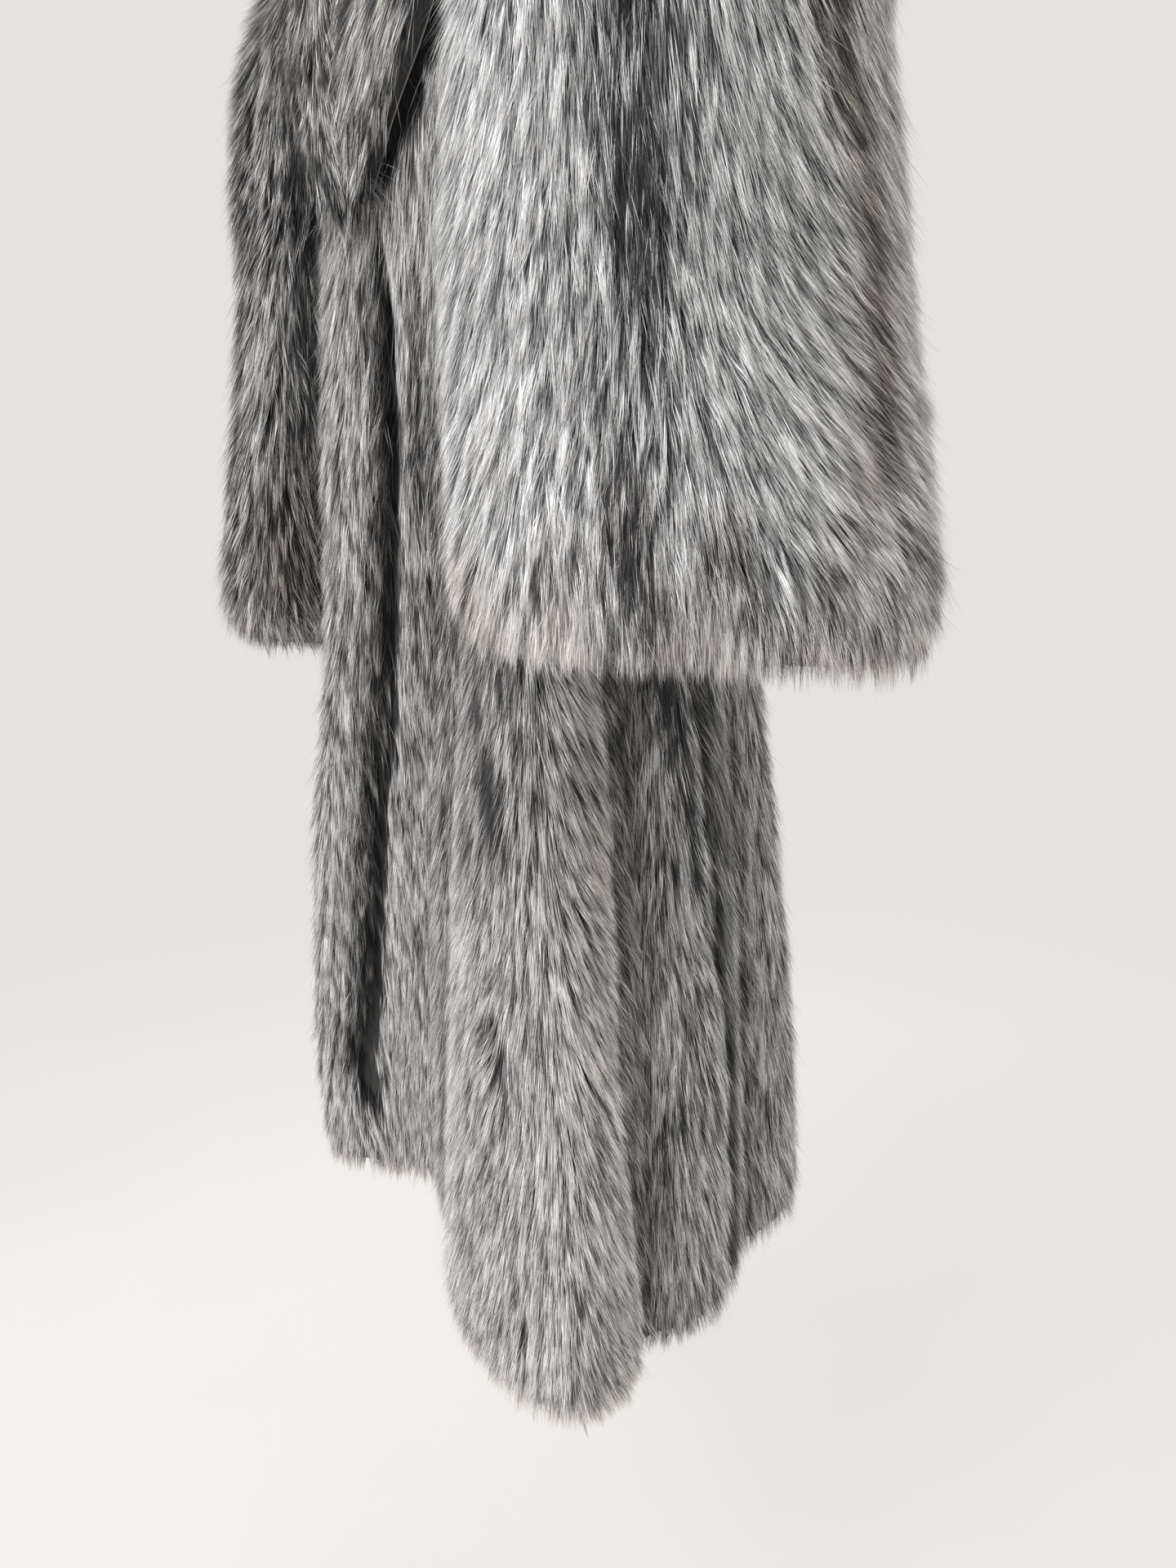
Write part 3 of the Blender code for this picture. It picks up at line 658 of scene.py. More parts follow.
    # Where the skin bends sharply, a hair that would come out too long is cut back
    direction = tipPoint - rootPoint
    reach = np.maximum(np.linalg.norm(direction, axis=1, keepdims=True), 1e-9)
    direction /= reach
    tipPoint = rootPoint + direction * np.minimum(reach, 1.35 * hairLength[:, None])
    face = tip[3][lock]
    across = np.cross(direction, face)
    across /= np.maximum(np.linalg.norm(across, axis=1, keepdims=True), 1e-9)
    roll = np.radians(dice.normal(0, coat["roll"], hairs))[:, None]
    across = np.cos(roll) * across + np.sin(roll) * face
    width = coat["width"] * np.clip(dice.normal(1, 0.25, hairs), 0.5, 1.7) * np.where(stray, coat["strayWidth"], 1.0)
    half = across * (width / 2)[:, None]
    points = np.stack([rootPoint - half, rootPoint + half, tipPoint], axis=1).reshape(-1, 3)
    mesh = meshOf(name, points, np.arange(hairs * 3).reshape(-1, 3))

    # Its colour belongs to the place where it shows, near its tip
    shown = [start + coat["shown"] * (end - start) for start, end in zip(rootPlace, tipPlace)]
    dark, brown, cream, tone = fields["colour"](*shown, rootSkin + coat["shown"] * (tipSkin - rootSkin))
    chance = coat["lockChance"] * dice.uniform(0, 1, locks)[lock] + (1 - coat["lockChance"]) * dice.uniform(0, 1, hairs)
    # Painted shade: raised locks and tuft crests get a paler tone, sunk locks and tuft hollows a darker one
    tone = tone + (0.5 + raised * coat["lockLiftShade"] + tuft * coat["tuftLiftShade"])[lock]
    tone = tone + dice.normal(0, coat["hairTone"], hairs)
    cream = cream * np.clip(1.35 - 1.1 * dice.uniform(0, 1, hairs), 0, 1)
    strand = np.stack([np.zeros(hairs), chance, np.clip(tone, -0.35, 0.98)], -1)
    strand = np.repeat(strand[:, None, :], 3, axis=1)
    strand[:, 2, 0] = 1.0
    pelt = np.repeat(np.stack([dark, brown, cream], -1)[:, None, :], 3, axis=1)
    for label, values in (("strand", strand), ("pelt", pelt)):
        layer = mesh.attributes.new(label, "FLOAT_VECTOR", "POINT")
        layer.data.foreach_set("vector", np.ascontiguousarray(values, np.float32).ravel())
    # A map for baking, with a cell of its own for every hair
    perRow = int(np.ceil(np.sqrt(hairs * 4)))
    cell = np.stack([np.arange(hairs) % perRow, np.arange(hairs) // perRow], -1)
    corners = np.array([[0.05, 0.05], [0.95, 0.05], [0.5, 0.95]])
    own = (cell[:, None, :] + corners) / [perRow, np.ceil(hairs / perRow)]
    addMap(mesh, "OFBake", own.reshape(-1, 2))
    item = newObject(name, mesh, materials)
    print(f"{name}: {hairs} hairs in {locks} locks {spacing * 1000:.1f} mm apart")
    return item


def offsetPlace(frameHere, u, v, down, lock, aside, ahead):
    # The u and v of each hair, so far to the side of its lock's place and so far ahead of it
    side = np.cross(frameHere[3], down)
    offset = aside[:, None] * side[lock] + ahead[:, None] * down[lock]
    return stepOver([part[lock] for part in frameHere], u[lock], v[lock], offset, 1.0)


def addMap(mesh, name, places):
    layer = mesh.uv_layers.new(name=name, do_init=False)
    layer.uv.foreach_set("vector", np.ascontiguousarray(places, np.float32).ravel())


# Creases between the body's folds, with painted shade in them. A line is (height above the hem, angle) pairs from the
# bottom up; before and after are how many degrees the painted shade reaches each way; bare is half the width with no
# hair.
creaseRow = namedtuple("creaseRow", "line bottom top depth before after shade bare")
openingLine = (
    (0.10, 257.5), (0.15, 258.5), (0.25, 261.5), (0.38, 263.0), (0.50, 263.8), (0.64, 265.0), (0.81, 268.5),
)
creases = [
    creaseRow(openingLine, 0.11, 0.95, 0.018, 3.6, 3.0, 1.15, 1.5),
    creaseRow(((0.12, 261.0), (0.21, 258.0)), 0.10, 0.24, 0.017, 3.0, 3.0, 1.10, 2.2),
    creaseRow(((0.07, 340.0), (0.15, 338.0), (0.24, 335.5), (0.60, 336.0)), -0.10, 1.00, 0.012, 2.0, 11.0, 0.60, 0.0),
    creaseRow(((0.10, 17.0), (0.24, 17.0), (0.36, 12.0), (0.60, 9.0)), -0.10, 0.95, 0.014, 2.5, 13.0, 0.74, 0.0),
    creaseRow(((0.10, 288.0), (0.60, 290.0)), -0.10, 0.85, 0.007, 8.0, 2.5, 0.38, 0.0),
    creaseRow(((0.10, 41.0), (0.60, 39.0)), -0.10, 0.90, 0.006, 5.0, 5.0, 0.30, 0.0),
    creaseRow(((0.10, 97.0), (0.60, 97.0)), -0.10, 0.85, 0.007, 5.0, 5.0, 0.35, 0.0),
    creaseRow(((0.10, 150.0), (0.60, 150.0)), -0.10, 0.85, 0.007, 5.0, 5.0, 0.35, 0.0),
    creaseRow(((0.10, 208.0), (0.60, 208.0)), -0.10, 0.85, 0.007, 5.0, 5.0, 0.35, 0.0),
]


def creaseFields(angle, point):
    # How far the tips sink, how much painted shade darkens the fur, and how bare, added up over the creases
    height = point[..., 2] + bodyCut["hemBelowHook"]
    sunk, shade, bare = np.zeros_like(height), np.zeros_like(height), np.zeros_like(height)
    for row in creases:
        heights, angles = np.array(row.line).T
        away = (angle - np.interp(height, heights, angles) + 180) % 360 - 180
        here = smoothStep(row.bottom, row.bottom + 0.04, height) * smoothStep(row.top, row.top - 0.06, height)
        hollowWidth = 2.0 + row.bare
        sunk = np.maximum(sunk, row.depth * np.exp(-((away / hollowWidth) ** 2)) * here)
        side = np.where(away < 0, row.before, row.after)
        shade = np.maximum(shade, row.shade * np.exp(-((away / side) ** 2)) * here)
        bare = np.maximum(bare, (np.abs(away) < row.bare) * (here > 0.3))
    return sunk, shade, bare


# Pelts round the body: a dark line down each one, hair that fans out from it, and brown where two meet
peltRow = namedtuple("peltRow", "angle halfWidth dark fanBefore fanAfter brownBefore brownAfter")
bodyPelts = {
    "pelts": [
        peltRow(28.0, 15.0, 0.40, 4.0, 12.0, 0.2, 0.5),
        peltRow(62.0, 15.0, 0.55, 16.0, 16.0, 0.4, 0.4),
        peltRow(94.0, 15.0, 0.65, 16.0, 16.0, 0.4, 0.4),
        peltRow(126.0, 15.0, 0.55, 16.0, 16.0, 0.4, 0.4),
        peltRow(158.0, 15.0, 0.65, 16.0, 16.0, 0.4, 0.4),
        peltRow(190.0, 15.0, 0.55, 16.0, 16.0, 0.4, 0.4),
        peltRow(221.0, 14.0, 0.45, 14.0, 10.0, 0.4, 0.3),
        peltRow(251.0, 13.0, 0.34, 6.0, 4.0, 0.2, 0.2),
        peltRow(279.0, 13.0, 0.22, 4.0, 6.0, 0.2, 0.2),
        peltRow(308.0, 16.0, 0.85, 4.0, 25.0, 0.1, 0.30),
        peltRow(357.0, 12.0, 1.00, 8.0, 18.0, 0.2, 0.3),
    ],
    "fadeHeights": (0.38, 0.47),  # the dark lines fade between them
    "fadedDark": 0.25,
    "creamRoom": (0.045, 0.006),  # hairs that show this near the hem's edge have pale pinkish tips
    "cream": 0.95,
    "swirl": (310.0, 0.478, 0.022),  # angle, height and radius of a crown in the fur
    "lightBelow": (0.42, 0.34),
}


def nearestPelt(angle):
    # The pelt that an angle lies on, and how far across it, as a share of its half width
    rows = np.array(bodyPelts["pelts"], float)
    away = (angle[..., None] - rows[:, 0] + 180) % 360 - 180
    index = np.argmin(np.abs(away) / rows[:, 1], axis=-1)
    row = rows[index]
    across = np.take_along_axis(away, index[..., None], -1)[..., 0] / row[..., 1]
    return peltRow(*np.moveaxis(row, -1, 0)), np.clip(across, -2, 2)


def swirlPlace(angle, point):
    # Across and up from the crown's middle, in metres, and a round hill over it
    swirlAngle, swirlHeight, radius = bodyPelts["swirl"]
    middle = bodyPoint(np.array(swirlAngle), np.array(hemLevel(swirlHeight)))
    away = point - middle
    right = np.sign((angle - swirlAngle + 180) % 360 - 180) * np.hypot(away[..., 0], away[..., 1])
    up = away[..., 2]
    return right, up, np.exp(-(right**2 + up**2) / radius**2)


def bodyColour(angle, level, point):
    height = point[..., 2] + bodyCut["hemBelowHook"]
    pelt, across = nearestPelt(angle)
    fade = smoothStep(*bodyPelts["fadeHeights"], height + 0.04 * softNoise(point, 0.12, 5))
    fade = bodyPelts["fadedDark"] + (1 - bodyPelts["fadedDark"]) * fade
    patches = 0.5 + 0.5 * softNoise(point * [1, 1, 0.4], 0.040, 11)
    dark = pelt.dark * np.exp(-((across * 1.6) ** 2)) * fade * (0.45 + 0.75 * patches)
    dark = dark + 0.08 * softNoise(point * [1, 1, 0.4], 0.035, 12)
    # Painted shade in the creases and the front opening: more dark hairs and a lower tone
    shade = creaseFields(angle, point)[1]
    crown = swirlPlace(angle, point)[2]
    dark = dark + 0.55 * shade + 0.55 * crown
    brown = np.where(across < 0, pelt.brownBefore, pelt.brownAfter) * smoothStep(0.65, 1.15, np.abs(across))
    brown = brown * (0.45 + 0.55 * smoothStep(0.25, 0.50, height)) + 0.12
    cream = bodyPelts["cream"] * smoothStep(*bodyPelts["creamRoom"], hemRoom(angle, level, point))
    light = smoothStep(*bodyPelts["lightBelow"], height) * bump(angle, 309.0, 18.0)
    # Painted shadow of the left sleeve on the body's front below it
    sleeveShadowOnBody = bump(angle, 280.0, 15.0) * smoothStep(0.55, 0.66, height) * smoothStep(0.92, 0.84, height)
    dark = dark + 0.20 * sleeveShadowOnBody
    tone = 0.02 + 0.08 * softNoise(point, 0.08, 13) + 0.10 * light - 0.80 * shade - 0.24 * sleeveShadowOnBody
    tone = tone + 0.15 * cream * (1 - np.clip(shade, 0, 1))
    return np.clip(dark, 0, 1.1), np.clip(brown, 0, 1), cream, tone


def bodySweep(angle, level, point):
    pelt, across = nearestPelt(angle)
    height = point[..., 2] + bodyCut["hemBelowHook"]
    fan = np.where(across < 0, -pelt.fanBefore, pelt.fanAfter) * smoothStep(0.0, 1.1, np.abs(across))
    fan = fan * (0.45 + 0.55 * smoothStep(0.10, 0.36, height))
    right, up, crown = swirlPlace(angle, point)
    fan = fan + 70.0 * crown * np.tanh(right / 0.006)
    # Hair parts along the front opening
    away = angle - np.interp(height, *np.array(openingLine).T)
    fan = fan + 7.0 * np.sign(away) * smoothStep(8.0, 2.0, np.abs(away)) * smoothStep(1.0, 0.9, height)
    return fan + 5.0 * softNoise(point, 0.10, 14)


def collarCovers(angle, level):
    # 1 where the collar lies over the body, inside its outer edge
    stations = np.array(collarCut["stations"], float)
    turned = (angle + 95) % 360 - 95
    wholeTurn = np.where(turned < 90, 450 - bodyCut["opening"], bodyCut["opening"] - 90)
    turn = np.abs(turned - 90) / wholeTurn
    edge = np.interp(turn, stations[:, 2], stations[:, 3])
    return (level > edge + 0.30) & (turn <= 1)


def bodyDensity(angle, level, point):
    beyond = (np.abs(point[..., 0]) > bodyCut["armholeX"] - 0.004) & (
        point[..., 2] > bodyCut["underarmHeight"] - bodyCut["hemBelowHook"] - bodyCut["armholeEase"]
    )
    bare = creaseFields(angle, point)[2] > 0
    return np.where(beyond | collarCovers(angle, level) | bare, 0.0, 1.0)


def hemRoom(angle, level, point):
    return point[..., 2] - bodyPoint(angle, np.zeros_like(level))[..., 2]


def bodyHollow(angle, level, point):
    return creaseFields(angle, point)[0]


def plainLoft(u, v, point):
    return np.ones_like(u)


bodyFields = {
    "density": bodyDensity,
    "sweep": bodySweep,
    "room": hemRoom,
    "loft": plainLoft,
    "hollow": bodyHollow,
    "colour": bodyColour,
}


# The left sleeve shows one whole pelt: its dark line runs down the sleeve's outer front, and a brown streak
# marks its rear margin. Levels run down the sleeve.
leftPelt = {
    "line": 337.0,
    "lineHalfWidth": 10.5,
    "lineLevels": (4.6, 6.4),  # the dark line fades between them
    "spot": (335.0, 6.95, 4.0, 0.22),  # angle, level, half width in degrees, half height in levels
    "rearSpot": (7.5, 6.75, 6.0, 0.30),
    "brownLevels": (3.2, 3.8, 4.3, 4.7, 5.6, 6.1, 6.7),
    "brownAngles": (26.0, 28.0, 35.5, 39.0, 39.0, 34.0, 23.0),
    "brownHalfWidth": 7.0,
    "greyAngle": 8.0,
    "greyHalfWidth": 30.0,
    "paleAngle": 296.0,
    "paleHalfWidth": 26.0,
    "fanLevels": (2.5, 3.6, 4.8, 5.6, 6.2, 6.8, 7.4),
    "fanRight": (12.0, 20.0, 33.0, 41.0, 31.0, 10.0, -3.0),
    "fanLeft": 11.0,
    "creamRoom": (0.058, 0.008),
    "cream": 0.75,
}

# The cuffs' edges: how much lower than the sleeve's end the tips reach, and where the edge rises round a corner
cornerRow = namedtuple("cornerRow", "angle halfWidth rise")
cuffEdges = {
    1: {
        "lower": 0.002,
        "corners": [
            cornerRow(66.0, 15.0, 0.054),
            cornerRow(278.0, 18.0, 0.045),
            cornerRow(20.0, 22.0, -0.006),
        ],
        "hideAbove": 0.033,
    },
    -1: {
        "lower": 0.020,
        "corners": [cornerRow(70.0, 24.0, 0.058), cornerRow(300.0, 24.0, 0.020)],
        "hideAbove": 0.017,
    },
    "levelHeight": 0.060,  # of one level of the sleeve's rings near the cuff
}


def awayFromLine(angle, line):
    return (angle - line + 180) % 360 - 180


def cuffRise(angle, side):
    # Round hills where the cuff's edge rises at its corners
    return sum(corner.rise * bump(angle, corner.angle, corner.halfWidth) for corner in cuffEdges[side]["corners"])


def cuffRoom(side):
    # How high a place is above the tips of the cuff's edge
    def room(angle, level, point):
        edge = sleevePoint(angle, np.full_like(level, 9.0), side)[..., 2] + cuffRise(angle, side)
        return point[..., 2] - edge + cuffEdges[side]["lower"]

    return room


def leftSleeveColour(angle, level, point):
    cut = leftPelt
    noise = softNoise(point, 0.05, 21)
    patches = 0.5 + 0.5 * softNoise(point * [1, 1, 0.4], 0.030, 22)
    fade = smoothStep(cut["lineLevels"][1], cut["lineLevels"][0], level + 0.35 * noise)
    line = bump(angle, cut["line"], cut["lineHalfWidth"]) + bump(angle, cut["line"] - 180, 14.0)
    dark = line * (0.34 + 0.62 * fade) * (0.60 + 0.60 * patches)
    spot, rearSpot = [
        bump(angle, middle, width) * np.exp(-(((level - middleLevel) / height) ** 2))
        for middle, middleLevel, width, height in (cut["spot"], cut["rearSpot"])
    ]
    streak = bump(angle, np.interp(level, cut["brownLevels"], cut["brownAngles"]), cut["brownHalfWidth"])
    streak = streak * (0.40 + 0.60 * smoothStep(6.5, 5.7, level))
    lowRear = bump(angle, 28.0, 30.0) * smoothStep(6.0, 6.9, level)
    marks = smoothStep(0.45, 0.95, patches) * smoothStep(5.9, 6.5, level)
    pale = bump(angle, cut["paleAngle"], cut["paleHalfWidth"])
    grey = bump(angle, cut["greyAngle"], cut["greyHalfWidth"]) * smoothStep(6.0, 5.0, level)
    dark = dark + 0.45 * spot + 0.60 * streak + 0.36 * marks + 0.13 * grey + 0.05 * noise
    dark = dark * (1 - 0.50 * pale) - 0.04 * pale
    brown = 0.80 * streak + 0.18 * bump(angle, 60.0, 40.0) + 0.35 * marks
    cream = cut["cream"] * smoothStep(*cut["creamRoom"], cuffRoom(1)(angle, level, point) + 0.010 * noise)
    dark = dark + 0.20 * rearSpot
    tone = 0.06 * softNoise(point, 0.08, 23) + 0.08 * pale + 0.08 * cream + 0.10 * lowRear - 0.30 * rearSpot
    return np.clip(dark, 0, 1), np.clip(brown, 0, 1), cream, tone


def leftSleeveSweep(angle, level, point):
    away = awayFromLine(angle, leftPelt["line"])
    right = np.interp(level, leftPelt["fanLevels"], leftPelt["fanRight"])
    right = right * smoothStep(0, 52, away) * smoothStep(150, 80, away)
    left = -leftPelt["fanLeft"] * smoothStep(-8, -60, away) * smoothStep(-160, -110, away)
    return right + left + 4.5 * softNoise(point, 0.09, 24)


# The right sleeve gets painted shade where it lies on the body, along a line of levels and angles
rightPelt = {
    "bodyLineLevels": (0.5, 0.85, 1.2, 2.35, 4.2, 5.9),
    "bodyLineAngles": (96.0, 111.0, 121.0, 129.0, 131.0, 137.0),
    "bodyLineHalfWidth": 9.0,
    "line": 265.0,
    "lowMark": (126.0, 24.0),  # angle and half width of the brown mark above the cuff
    "creamRoom": (0.065, 0.018),
    "cream": 0.80,
}


def rightSleeveColour(angle, level, point):
    cut = rightPelt
    noise = softNoise(point, 0.05, 31)
    patches = 0.5 + 0.5 * softNoise(point * [1, 1, 0.4], 0.035, 34)
    # Painted shade along the line where the sleeve meets the body
    shadeNextToBody = angle - np.interp(level, cut["bodyLineLevels"], cut["bodyLineAngles"])
    shadeNextToBody = bump(shadeNextToBody, 0.0, cut["bodyLineHalfWidth"]) * smoothStep(6.4, 4.6, level)
    dark = 0.20 + 0.20 * bump(angle, 88.0, 8.0) + 0.35 * bump(angle, cut["line"], 14.0) + 0.10 * noise * patches
    low = bump(angle, *cut["lowMark"]) * smoothStep(4.9, 6.1, level) * smoothStep(7.9, 7.1, level)
    dark = dark + 0.34 * low + 0.55 * shadeNextToBody
    brown = 0.12 + 0.62 * low
    cream = cut["cream"] * smoothStep(*cut["creamRoom"], cuffRoom(-1)(angle, level, point) + 0.008 * noise)
    tone = 0.05 * softNoise(point, 0.08, 32) - 0.50 * shadeNextToBody
    return np.clip(dark, 0, 1), np.clip(brown, 0, 1), cream, tone


def rightSleeveSweep(angle, level, point):
    return 10.0 * np.sin(np.radians(2 * (angle - 112.0))) * smoothStep(2.0, 6.0, level) + 4.0 * softNoise(point, 0.1, 33)


def cuffDensity(side):
    # Hair grows down to the hide's edge, which follows the cuff's corners
    def density(angle, level, point):
        room = cuffRoom(side)(angle, level, point) - cuffEdges[side]["lower"]
        return np.where(room > cuffEdges[side]["hideAbove"], 1.0, 0.0)

    return density


def rightSleeveHollow(angle, level, point):
    # The fur stands higher over the upper arm's front
    return -0.013 * bump(angle, 72.0, 34.0) * smoothStep(4.2, 1.0, level)


def noHollow(u, v, point):
    return np.zeros_like(u)


def sleeveFields(side, colour, sweep, hollow):
    return {
        "density": cuffDensity(side),
        "sweep": sweep,
        "room": cuffRoom(side),
        "loft": plainLoft,
        "hollow": hollow,
        "colour": colour,
    }


def collarColour(along, across, point):
    noise = softNoise(point * [1, 1, 0.4], 0.022, 41)
    dark = 0.42 + 0.36 * noise
    brown = 0.12 + 0.2 * np.clip(softNoise(point, 0.07, 42), 0, 1)
    return np.clip(dark, 0, 1), np.clip(brown, 0, 1), np.zeros_like(dark), 0.08 * softNoise(point, 0.06, 43)


def collarSweep(along, across, point):
    # Straight down behind, and towards the opening on both lapels
    lapel = np.sign(along) * smoothStep(0.45, 0.75, np.abs(along))
    return 24.0 * lapel + 7.0 * softNoise(point, 0.09, 44)


def collarRoom(along, across, point):
    return np.full_like(along, 0.2)


collarFields = {
    "density": lambda along, across, point: np.ones_like(along),
    "sweep": collarSweep,
    "room": collarRoom,
    "loft": lambda along, across, point: collarPlace(along, across)[3] / collarCut["wall"] * 0.8,
    "hollow": noHollow,
    "colour": collarColour,
}

# What a user would change about the fur: how much there is, its length, its locks and how it lies
bodyCoat = {
    "hairs": 90000,
    "hairsPerLock": 6,
    "length": 0.047,
    "lengthSpread": 0.18,
    "shortest": 0.014,
    "width": 0.0011,
    "lockWidth": 0.9,  # of the space between locks
    "lockStretch": 1.5,
    "lockTurn": 4.5,
    "hairTurn": 1.2,
    "strays": 0.08,
    "strayTurn": 8.0,
    "strayLift": 0.014,
    "strayWidth": 0.5,
    "rootDepth": 0.0130,
    "tipDepth": 0.0012,
    "tuftSize": 0.0115,
    "tuftStretch": 0.55,
    "tuftPull": 2.4,
    "tuftLift": 0.0026,
    # tuft crests are painted paler and their hollows darker, as shade
    "tuftLiftShade": 0.22,
    "lockLift": 0.0016,  # raised locks are also paler and sunk ones darker: painted shade by their height
    "hairLift": 0.0006,
    "clump": 0.78,
    "roll": 24.0,
    "shown": 0.78,
    "lockChance": 0.82,  # the rest of a hair's chance to be dark is its own
    "lockLiftShade": 0.24,
    "hairTone": 0.12,
    "pastEdge": (0.003, 0.0075),
    "fringe": 0.0045,
}
sleeveCoat = {**bodyCoat, "length": 0.046, "width": 0.0010, "tuftSize": 0.0100, "pastEdge": (-0.001, 0.0075)}

print("materials")
longFur = guardHairMaterial("body_guard_hair", 0.90)
silverFur = guardHairMaterial("sleeve_guard_hair", 1.00, (0.985, 1.000, 1.025))
greyFur = guardHairMaterial("far_sleeve_guard_hair", 0.91)
collarFur = guardHairMaterial("collar_guard_hair", 0.88)
woolColours = [(0.3, (0.008, 0.0077, 0.008)), (0.7, (0.028, 0.027, 0.027))]
wool = streakyMaterial("underfur_wool", woolColours, 0.85)
suede = streakyMaterial("hide_suede", [(0.3, (0.32, 0.27, 0.22)), (0.7, (0.42, 0.36, 0.30))], 0.9, (90, 90, 90))
satin = liningMaterial()


def hemLevel(heightAbove):
    # The level of the body's rings that is this far above the hem
    heights = np.array([row.sideHeight for row in bodyCut["rings"]])
    levels = np.linspace(0, 3, 301)
    return float(np.interp(heightAbove, tableColumns(bodyCut["rings"], levels).sideHeight, levels))


def bodyShell(name, start, end, lowLevel, frontDepth, backDepth, materials, sides):
    seam = np.degrees(bodyCut["seamGap"] / bodyCut["rings"][0].frontDepth)
    columns = int(np.ceil((end - start) / 2.5)) + 1
    angle, level = np.meshgrid(
        np.linspace(start + seam, end - seam, columns), np.linspace(lowLevel, bodyCut["neckLevel"], 46)
    )
    skin, normal = bodyPoint(angle, level), bodyNormal(angle, level)
    sunk = np.minimum(frontDepth + 0.7 * bodyHollow(angle, level, skin), backDepth - 0.001)
    wall = gridWall(name, skin - sunk[..., None] * normal, skin - backDepth * normal, False, materials)
    for side in sides:
        cutAtArmhole(wall, side)
    return wall


def sleeveShell(name, side, highLevel, frontDepth, backDepth, materials):
    angle, share = np.meshgrid(np.arange(48) * 7.5, np.linspace(0, 1, 34))
    level = share * (highLevel - cuffRise(angle, side) / cuffEdges["levelHeight"])
    front, back = [sleevePoint(angle, level, side, depth) for depth in (frontDepth, backDepth)]
    return gridWall(name, front, back, True, materials, flip=True)


def collarShell(name, frontShare, backShare, materials):
    along, across = np.meshgrid(np.linspace(-1, 1, 90), np.linspace(0, 1, 12), indexing="ij")
    front, back = collarPoint(along, across, frontShare), collarPoint(along, across, backShare)
    return gridWall(name, front, back, False, materials)


def clothArea(item):
    mesh = item.data
    areas = np.zeros(len(mesh.polygons), np.float32)
    mesh.polygons.foreach_get("area", areas)
    return float(areas.sum()) / 2


panels = {
    "back": {"angles": (0.0, 180.0), "armholes": (1, -1), "hairs": 150000, "seed": 101},
    "right_front": {"angles": (180.0, 265.0), "armholes": (-1,), "hairs": 100000, "seed": 102},
    "left_front": {"angles": (265.0, 360.0), "armholes": (1,), "hairs": 185000, "seed": 103},
}
made = []
for name, panel in panels.items():
    start, end = panel["angles"]
    hide = bodyShell(
        name + "_hide", start, end, hemLevel(layers["hideAboveHem"]), layers["hide"], layers["lining"],
        [suede, satin], panel["armholes"],
    )
    underfur = bodyShell(
        name + "_underfur", start, end, hemLevel(layers["underfurAboveHem"]), layers["underfurFront"],
        layers["underfurBack"], [wool], panel["armholes"],
    )
    region = (start + 0.2, end - 0.2, hemLevel(layers["hideAboveHem"]), bodyCut["neckLevel"] - 0.05)
    coat = {**bodyCoat, "hairs": panel["hairs"]}
    fur = growFur(name + "_fur", bodyPoint, 1.0, region, coat, bodyFields, [longFur], panel["seed"])
    made.append((name, hide, [underfur, fur], "body_fur"))
print("body made")

sleeves = {
    "left_sleeve": {
        "side": 1,
        "fields": sleeveFields(1, leftSleeveColour, leftSleeveSweep, noHollow),
        "parts": {"left_sleeve_fur_outer": (250.0, 430.0, 190000), "left_sleeve_fur_inner": (70.0, 250.0, 80000)},
        "fur": silverFur,
        "coat": sleeveCoat,
        "seed": 201,
    },
    "right_sleeve": {
        "side": -1,
        "fields": sleeveFields(-1, rightSleeveColour, rightSleeveSweep, rightSleeveHollow),
        "parts": {"right_sleeve_fur": (0.0, 360.0, 120000)},
        "fur": greyFur,
        "coat": {
            **sleeveCoat, "width": 0.0012, "length": 0.050, "lockLiftShade": 0.20, "tuftLiftShade": 0.12, "tuftSize": 0.008,
            "tuftPull": 1.6, "lockTurn": 6.0,
        },
        "seed": 202,
    },
}
for name, sleeve in sleeves.items():
    side = sleeve["side"]
    hideEnd, underfurEnd = layers["hideAtCuff"][side], layers["underfurAtCuff"][side]
    hide = sleeveShell(name + "_hide", side, hideEnd, layers["hide"], layers["lining"], [suede, satin])
    underfur = sleeveShell(
        name + "_underfur", side, underfurEnd, layers["underfurFront"], layers["underfurBack"], [wool]
    )
    furs = []
    for number, (part, (start, end, hairs)) in enumerate(sleeve["parts"].items()):
        region = (start, end, 0.05, hideEnd)
        coat = {**sleeve["coat"], "hairs": hairs}

        def skin(angle, level, side=side):
            return sleevePoint(angle, level, side)

        furs.append(
            growFur(part, skin, -1.0, region, coat, sleeve["fields"], [sleeve["fur"]], sleeve["seed"] + 10 * number)
        )
    made.append((name, hide, [underfur, *furs], "sleeve_fur"))

collarHide = collarShell("collar_hide", 0.10, 0.0, [suede, satin])
collarWool = collarShell("collar_underfur", 0.55, 0.12, [wool])
collarCoat = {
    **bodyCoat, "hairs": 76000, "width": 0.0012, "length": 0.046, "rootDepth": 0.012, "lockLiftShade": 0.30,
}
collarFurs = growFur(
    "collar_fur", collarPoint, -1.0, (-0.985, 0.985, 0.04, 0.93), collarCoat, collarFields, [collarFur], 301,
    (0.002, 0.005),
)
made.append(("collar", collarHide, [collarWool, collarFurs], "collar_fur"))

# A row for what a piece was cut to, in metres: the widest and the longest, and its area. Below, each hide and its fur
# take the place of their parts, and the hide's area is printed
cutRow = namedtuple("cutRow", "width length area")
for node, hide, pieces, slot in made:
    nodes = [node]
    if node in sleeves:
        nodes = [node.replace("sleeve", part) for part in ("top_sleeve", "under_sleeve")]
    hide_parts(*nodes)
    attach(hide, "root")
    for piece in pieces:
        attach(piece, "root")
    print(f"{hide.name}: {clothArea(hide):.3f} square metres")

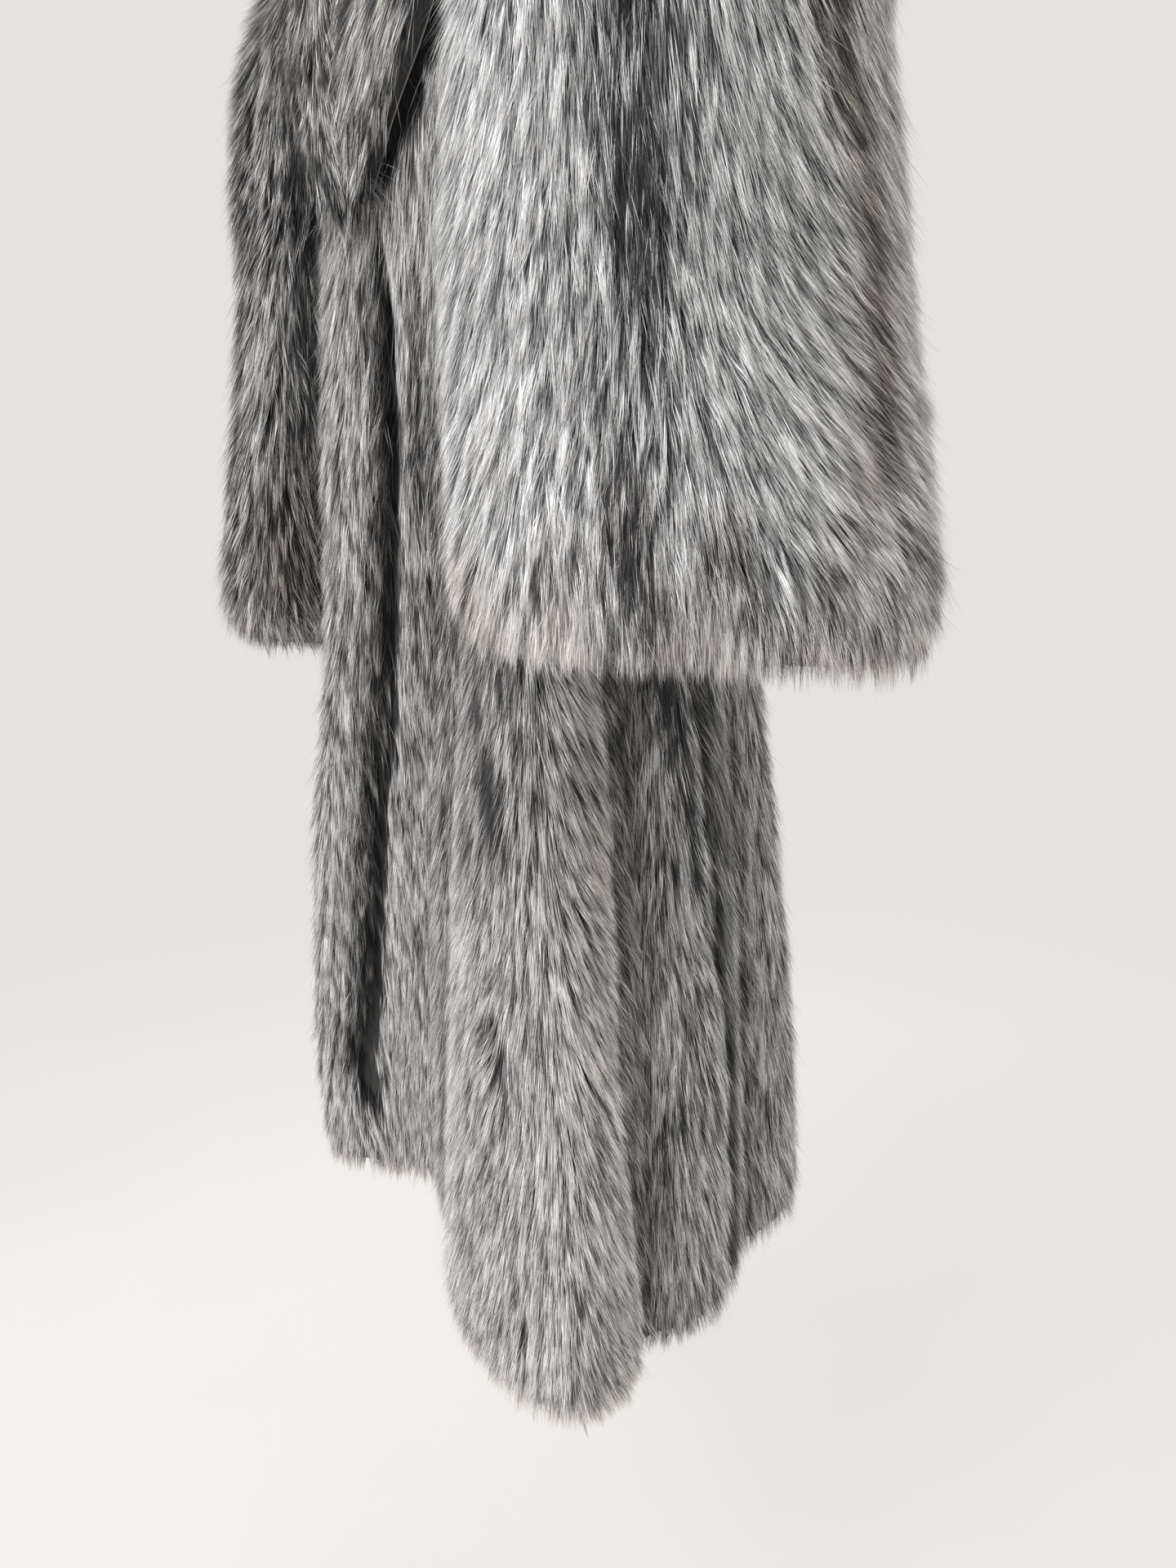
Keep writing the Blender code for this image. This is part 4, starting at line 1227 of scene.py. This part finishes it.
for node, material in (("hanger_bar", woodMaterial()), ("hanger_hook", wireMaterial())):
    for number in range(len(frame["nodes"][node].material_slots)):
        frame["nodes"][node].material_slots[number].material = material

# Room: a pale floor that fades into the pale surroundings, soft lights and the camera
room = {
    "floorHeight": -1.84,
    "floorSize": 40.0,
    "floorColour": (0.785, 0.768, 0.738),
    "airColour": (0.783, 0.768, 0.737),
    "airStrength": 1.0,
    "fade": (0.9, 3.4),
}


def floorMaterial():
    material, nodes, links, shader = blankMaterial("pale_floor", Roughness=0.75)
    place = linked(nodes, links, "ShaderNodeTexCoord").outputs["Object"]
    noise = linked(nodes, links, "ShaderNodeTexNoise", {"Vector": place, "Scale": 1.5, "Detail": 3.0})
    low, high = [tuple(value * share for value in room["floorColour"]) for share in (0.97, 1.02)]
    links.new(colourRamp(nodes, links, noise.outputs[0], [(0.3, low), (0.7, high)]), shader.inputs["Base Color"])
    distance = linked(nodes, links, "ShaderNodeVectorMath", {0: place}, operation="LENGTH").outputs["Value"]
    far = linked(nodes, links, "ShaderNodeMapRange", {0: distance, 1: room["fade"][0], 2: room["fade"][1]})
    glow = linked(nodes, links, "ShaderNodeEmission", {"Color": (*room["airColour"], 1), "Strength": 1.0})
    mixed = linked(nodes, links, "ShaderNodeMixShader", {0: far.outputs[0], 1: shader.outputs[0], 2: glow.outputs[0]})
    links.new(mixed.outputs[0], nodes["Material Output"].inputs["Surface"])
    return material


half = room["floorSize"] / 2
floorPoints = np.array([[x * half, y * half, room["floorHeight"]] for x, y in ((-1, -1), (1, -1), (1, 1), (-1, 1))])
floor = newObject("floor", meshOf("floor", floorPoints, np.array([[0, 1, 2, 3]])), [floorMaterial()])

world = bpy.data.worlds.new("pale_air")
world.use_nodes = True
background = world.node_tree.nodes["Background"]
background.inputs["Color"].default_value = (*room["airColour"], 1)
background.inputs["Strength"].default_value = room["airStrength"]
bpy.context.scene.world = world

cameraPlace = {
    "position": (0.793, -0.507, -0.770),
    "azimuth": 54.7,
    "pitch": 10.3,
    "roll": -1.7,
    "focal": 36 * 1331 / 1920,  # 1331 pixels of focal length in an image 1920 pixels high
}


def cameraAxes():
    turn, pitch, roll = [np.radians(cameraPlace[key]) for key in ("azimuth", "pitch", "roll")]
    forward = np.array([-np.sin(turn) * np.cos(pitch), np.cos(turn) * np.cos(pitch), -np.sin(pitch)])
    right = np.array([np.cos(turn), np.sin(turn), 0.0])
    up = np.cross(right, forward)
    return right * np.cos(roll) + up * np.sin(roll), up * np.cos(roll) - right * np.sin(roll), forward


right, up, forward = cameraAxes()
camera = bpy.data.objects.new("camera", bpy.data.cameras.new("camera"))
camera.data.lens = cameraPlace["focal"]
camera.data.sensor_width = 36
camera.data.clip_start = 0.02
pose = Matrix((right, up, -forward)).transposed().to_4x4()
pose.translation = Vector(cameraPlace["position"])
camera.matrix_world = pose
bpy.context.scene.collection.objects.link(camera)
bpy.context.scene.camera = camera

# Each light: how far to the camera's right, towards the camera and above the coat's middle, size and power
lightRow = namedtuple("lightRow", "right near above size power")
lights = {
    "key_light": lightRow(-2.0, 1.5, 1.5, 2.2, 75.0),
    "fill_light": lightRow(2.4, 1.0, 0.8, 2.4, 14.0),
    "rear_light": lightRow(0.6, -2.4, 1.6, 2.4, 28.0),
}
coatMiddle = np.array([0.0, 0.0, -0.85])
level = np.array([forward[0], forward[1], 0.0])
level /= np.linalg.norm(level)
sideways = np.array([-level[1], level[0], 0.0]) * -1
for name, row in lights.items():
    data = bpy.data.lights.new(name, "AREA")
    data.size = row.size
    data.energy = row.power
    lamp = bpy.data.objects.new(name, data)
    place = coatMiddle + sideways * row.right - level * row.near + np.array([0, 0, row.above])
    lamp.location = place
    lamp.rotation_euler = Vector(coatMiddle - place).to_track_quat("-Z", "Y").to_euler()
    bpy.context.scene.collection.objects.link(lamp)
bpy.context.scene.view_settings.view_transform = "Standard"

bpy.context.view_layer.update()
triangles = sum(
    len(item.data.loop_triangles) if item.data.calc_loop_triangles() is None else 0
    for item in bpy.data.objects
    if item.type == "MESH" and not item.hide_render and item is not floor
)
print("triangles shown:", triangles)
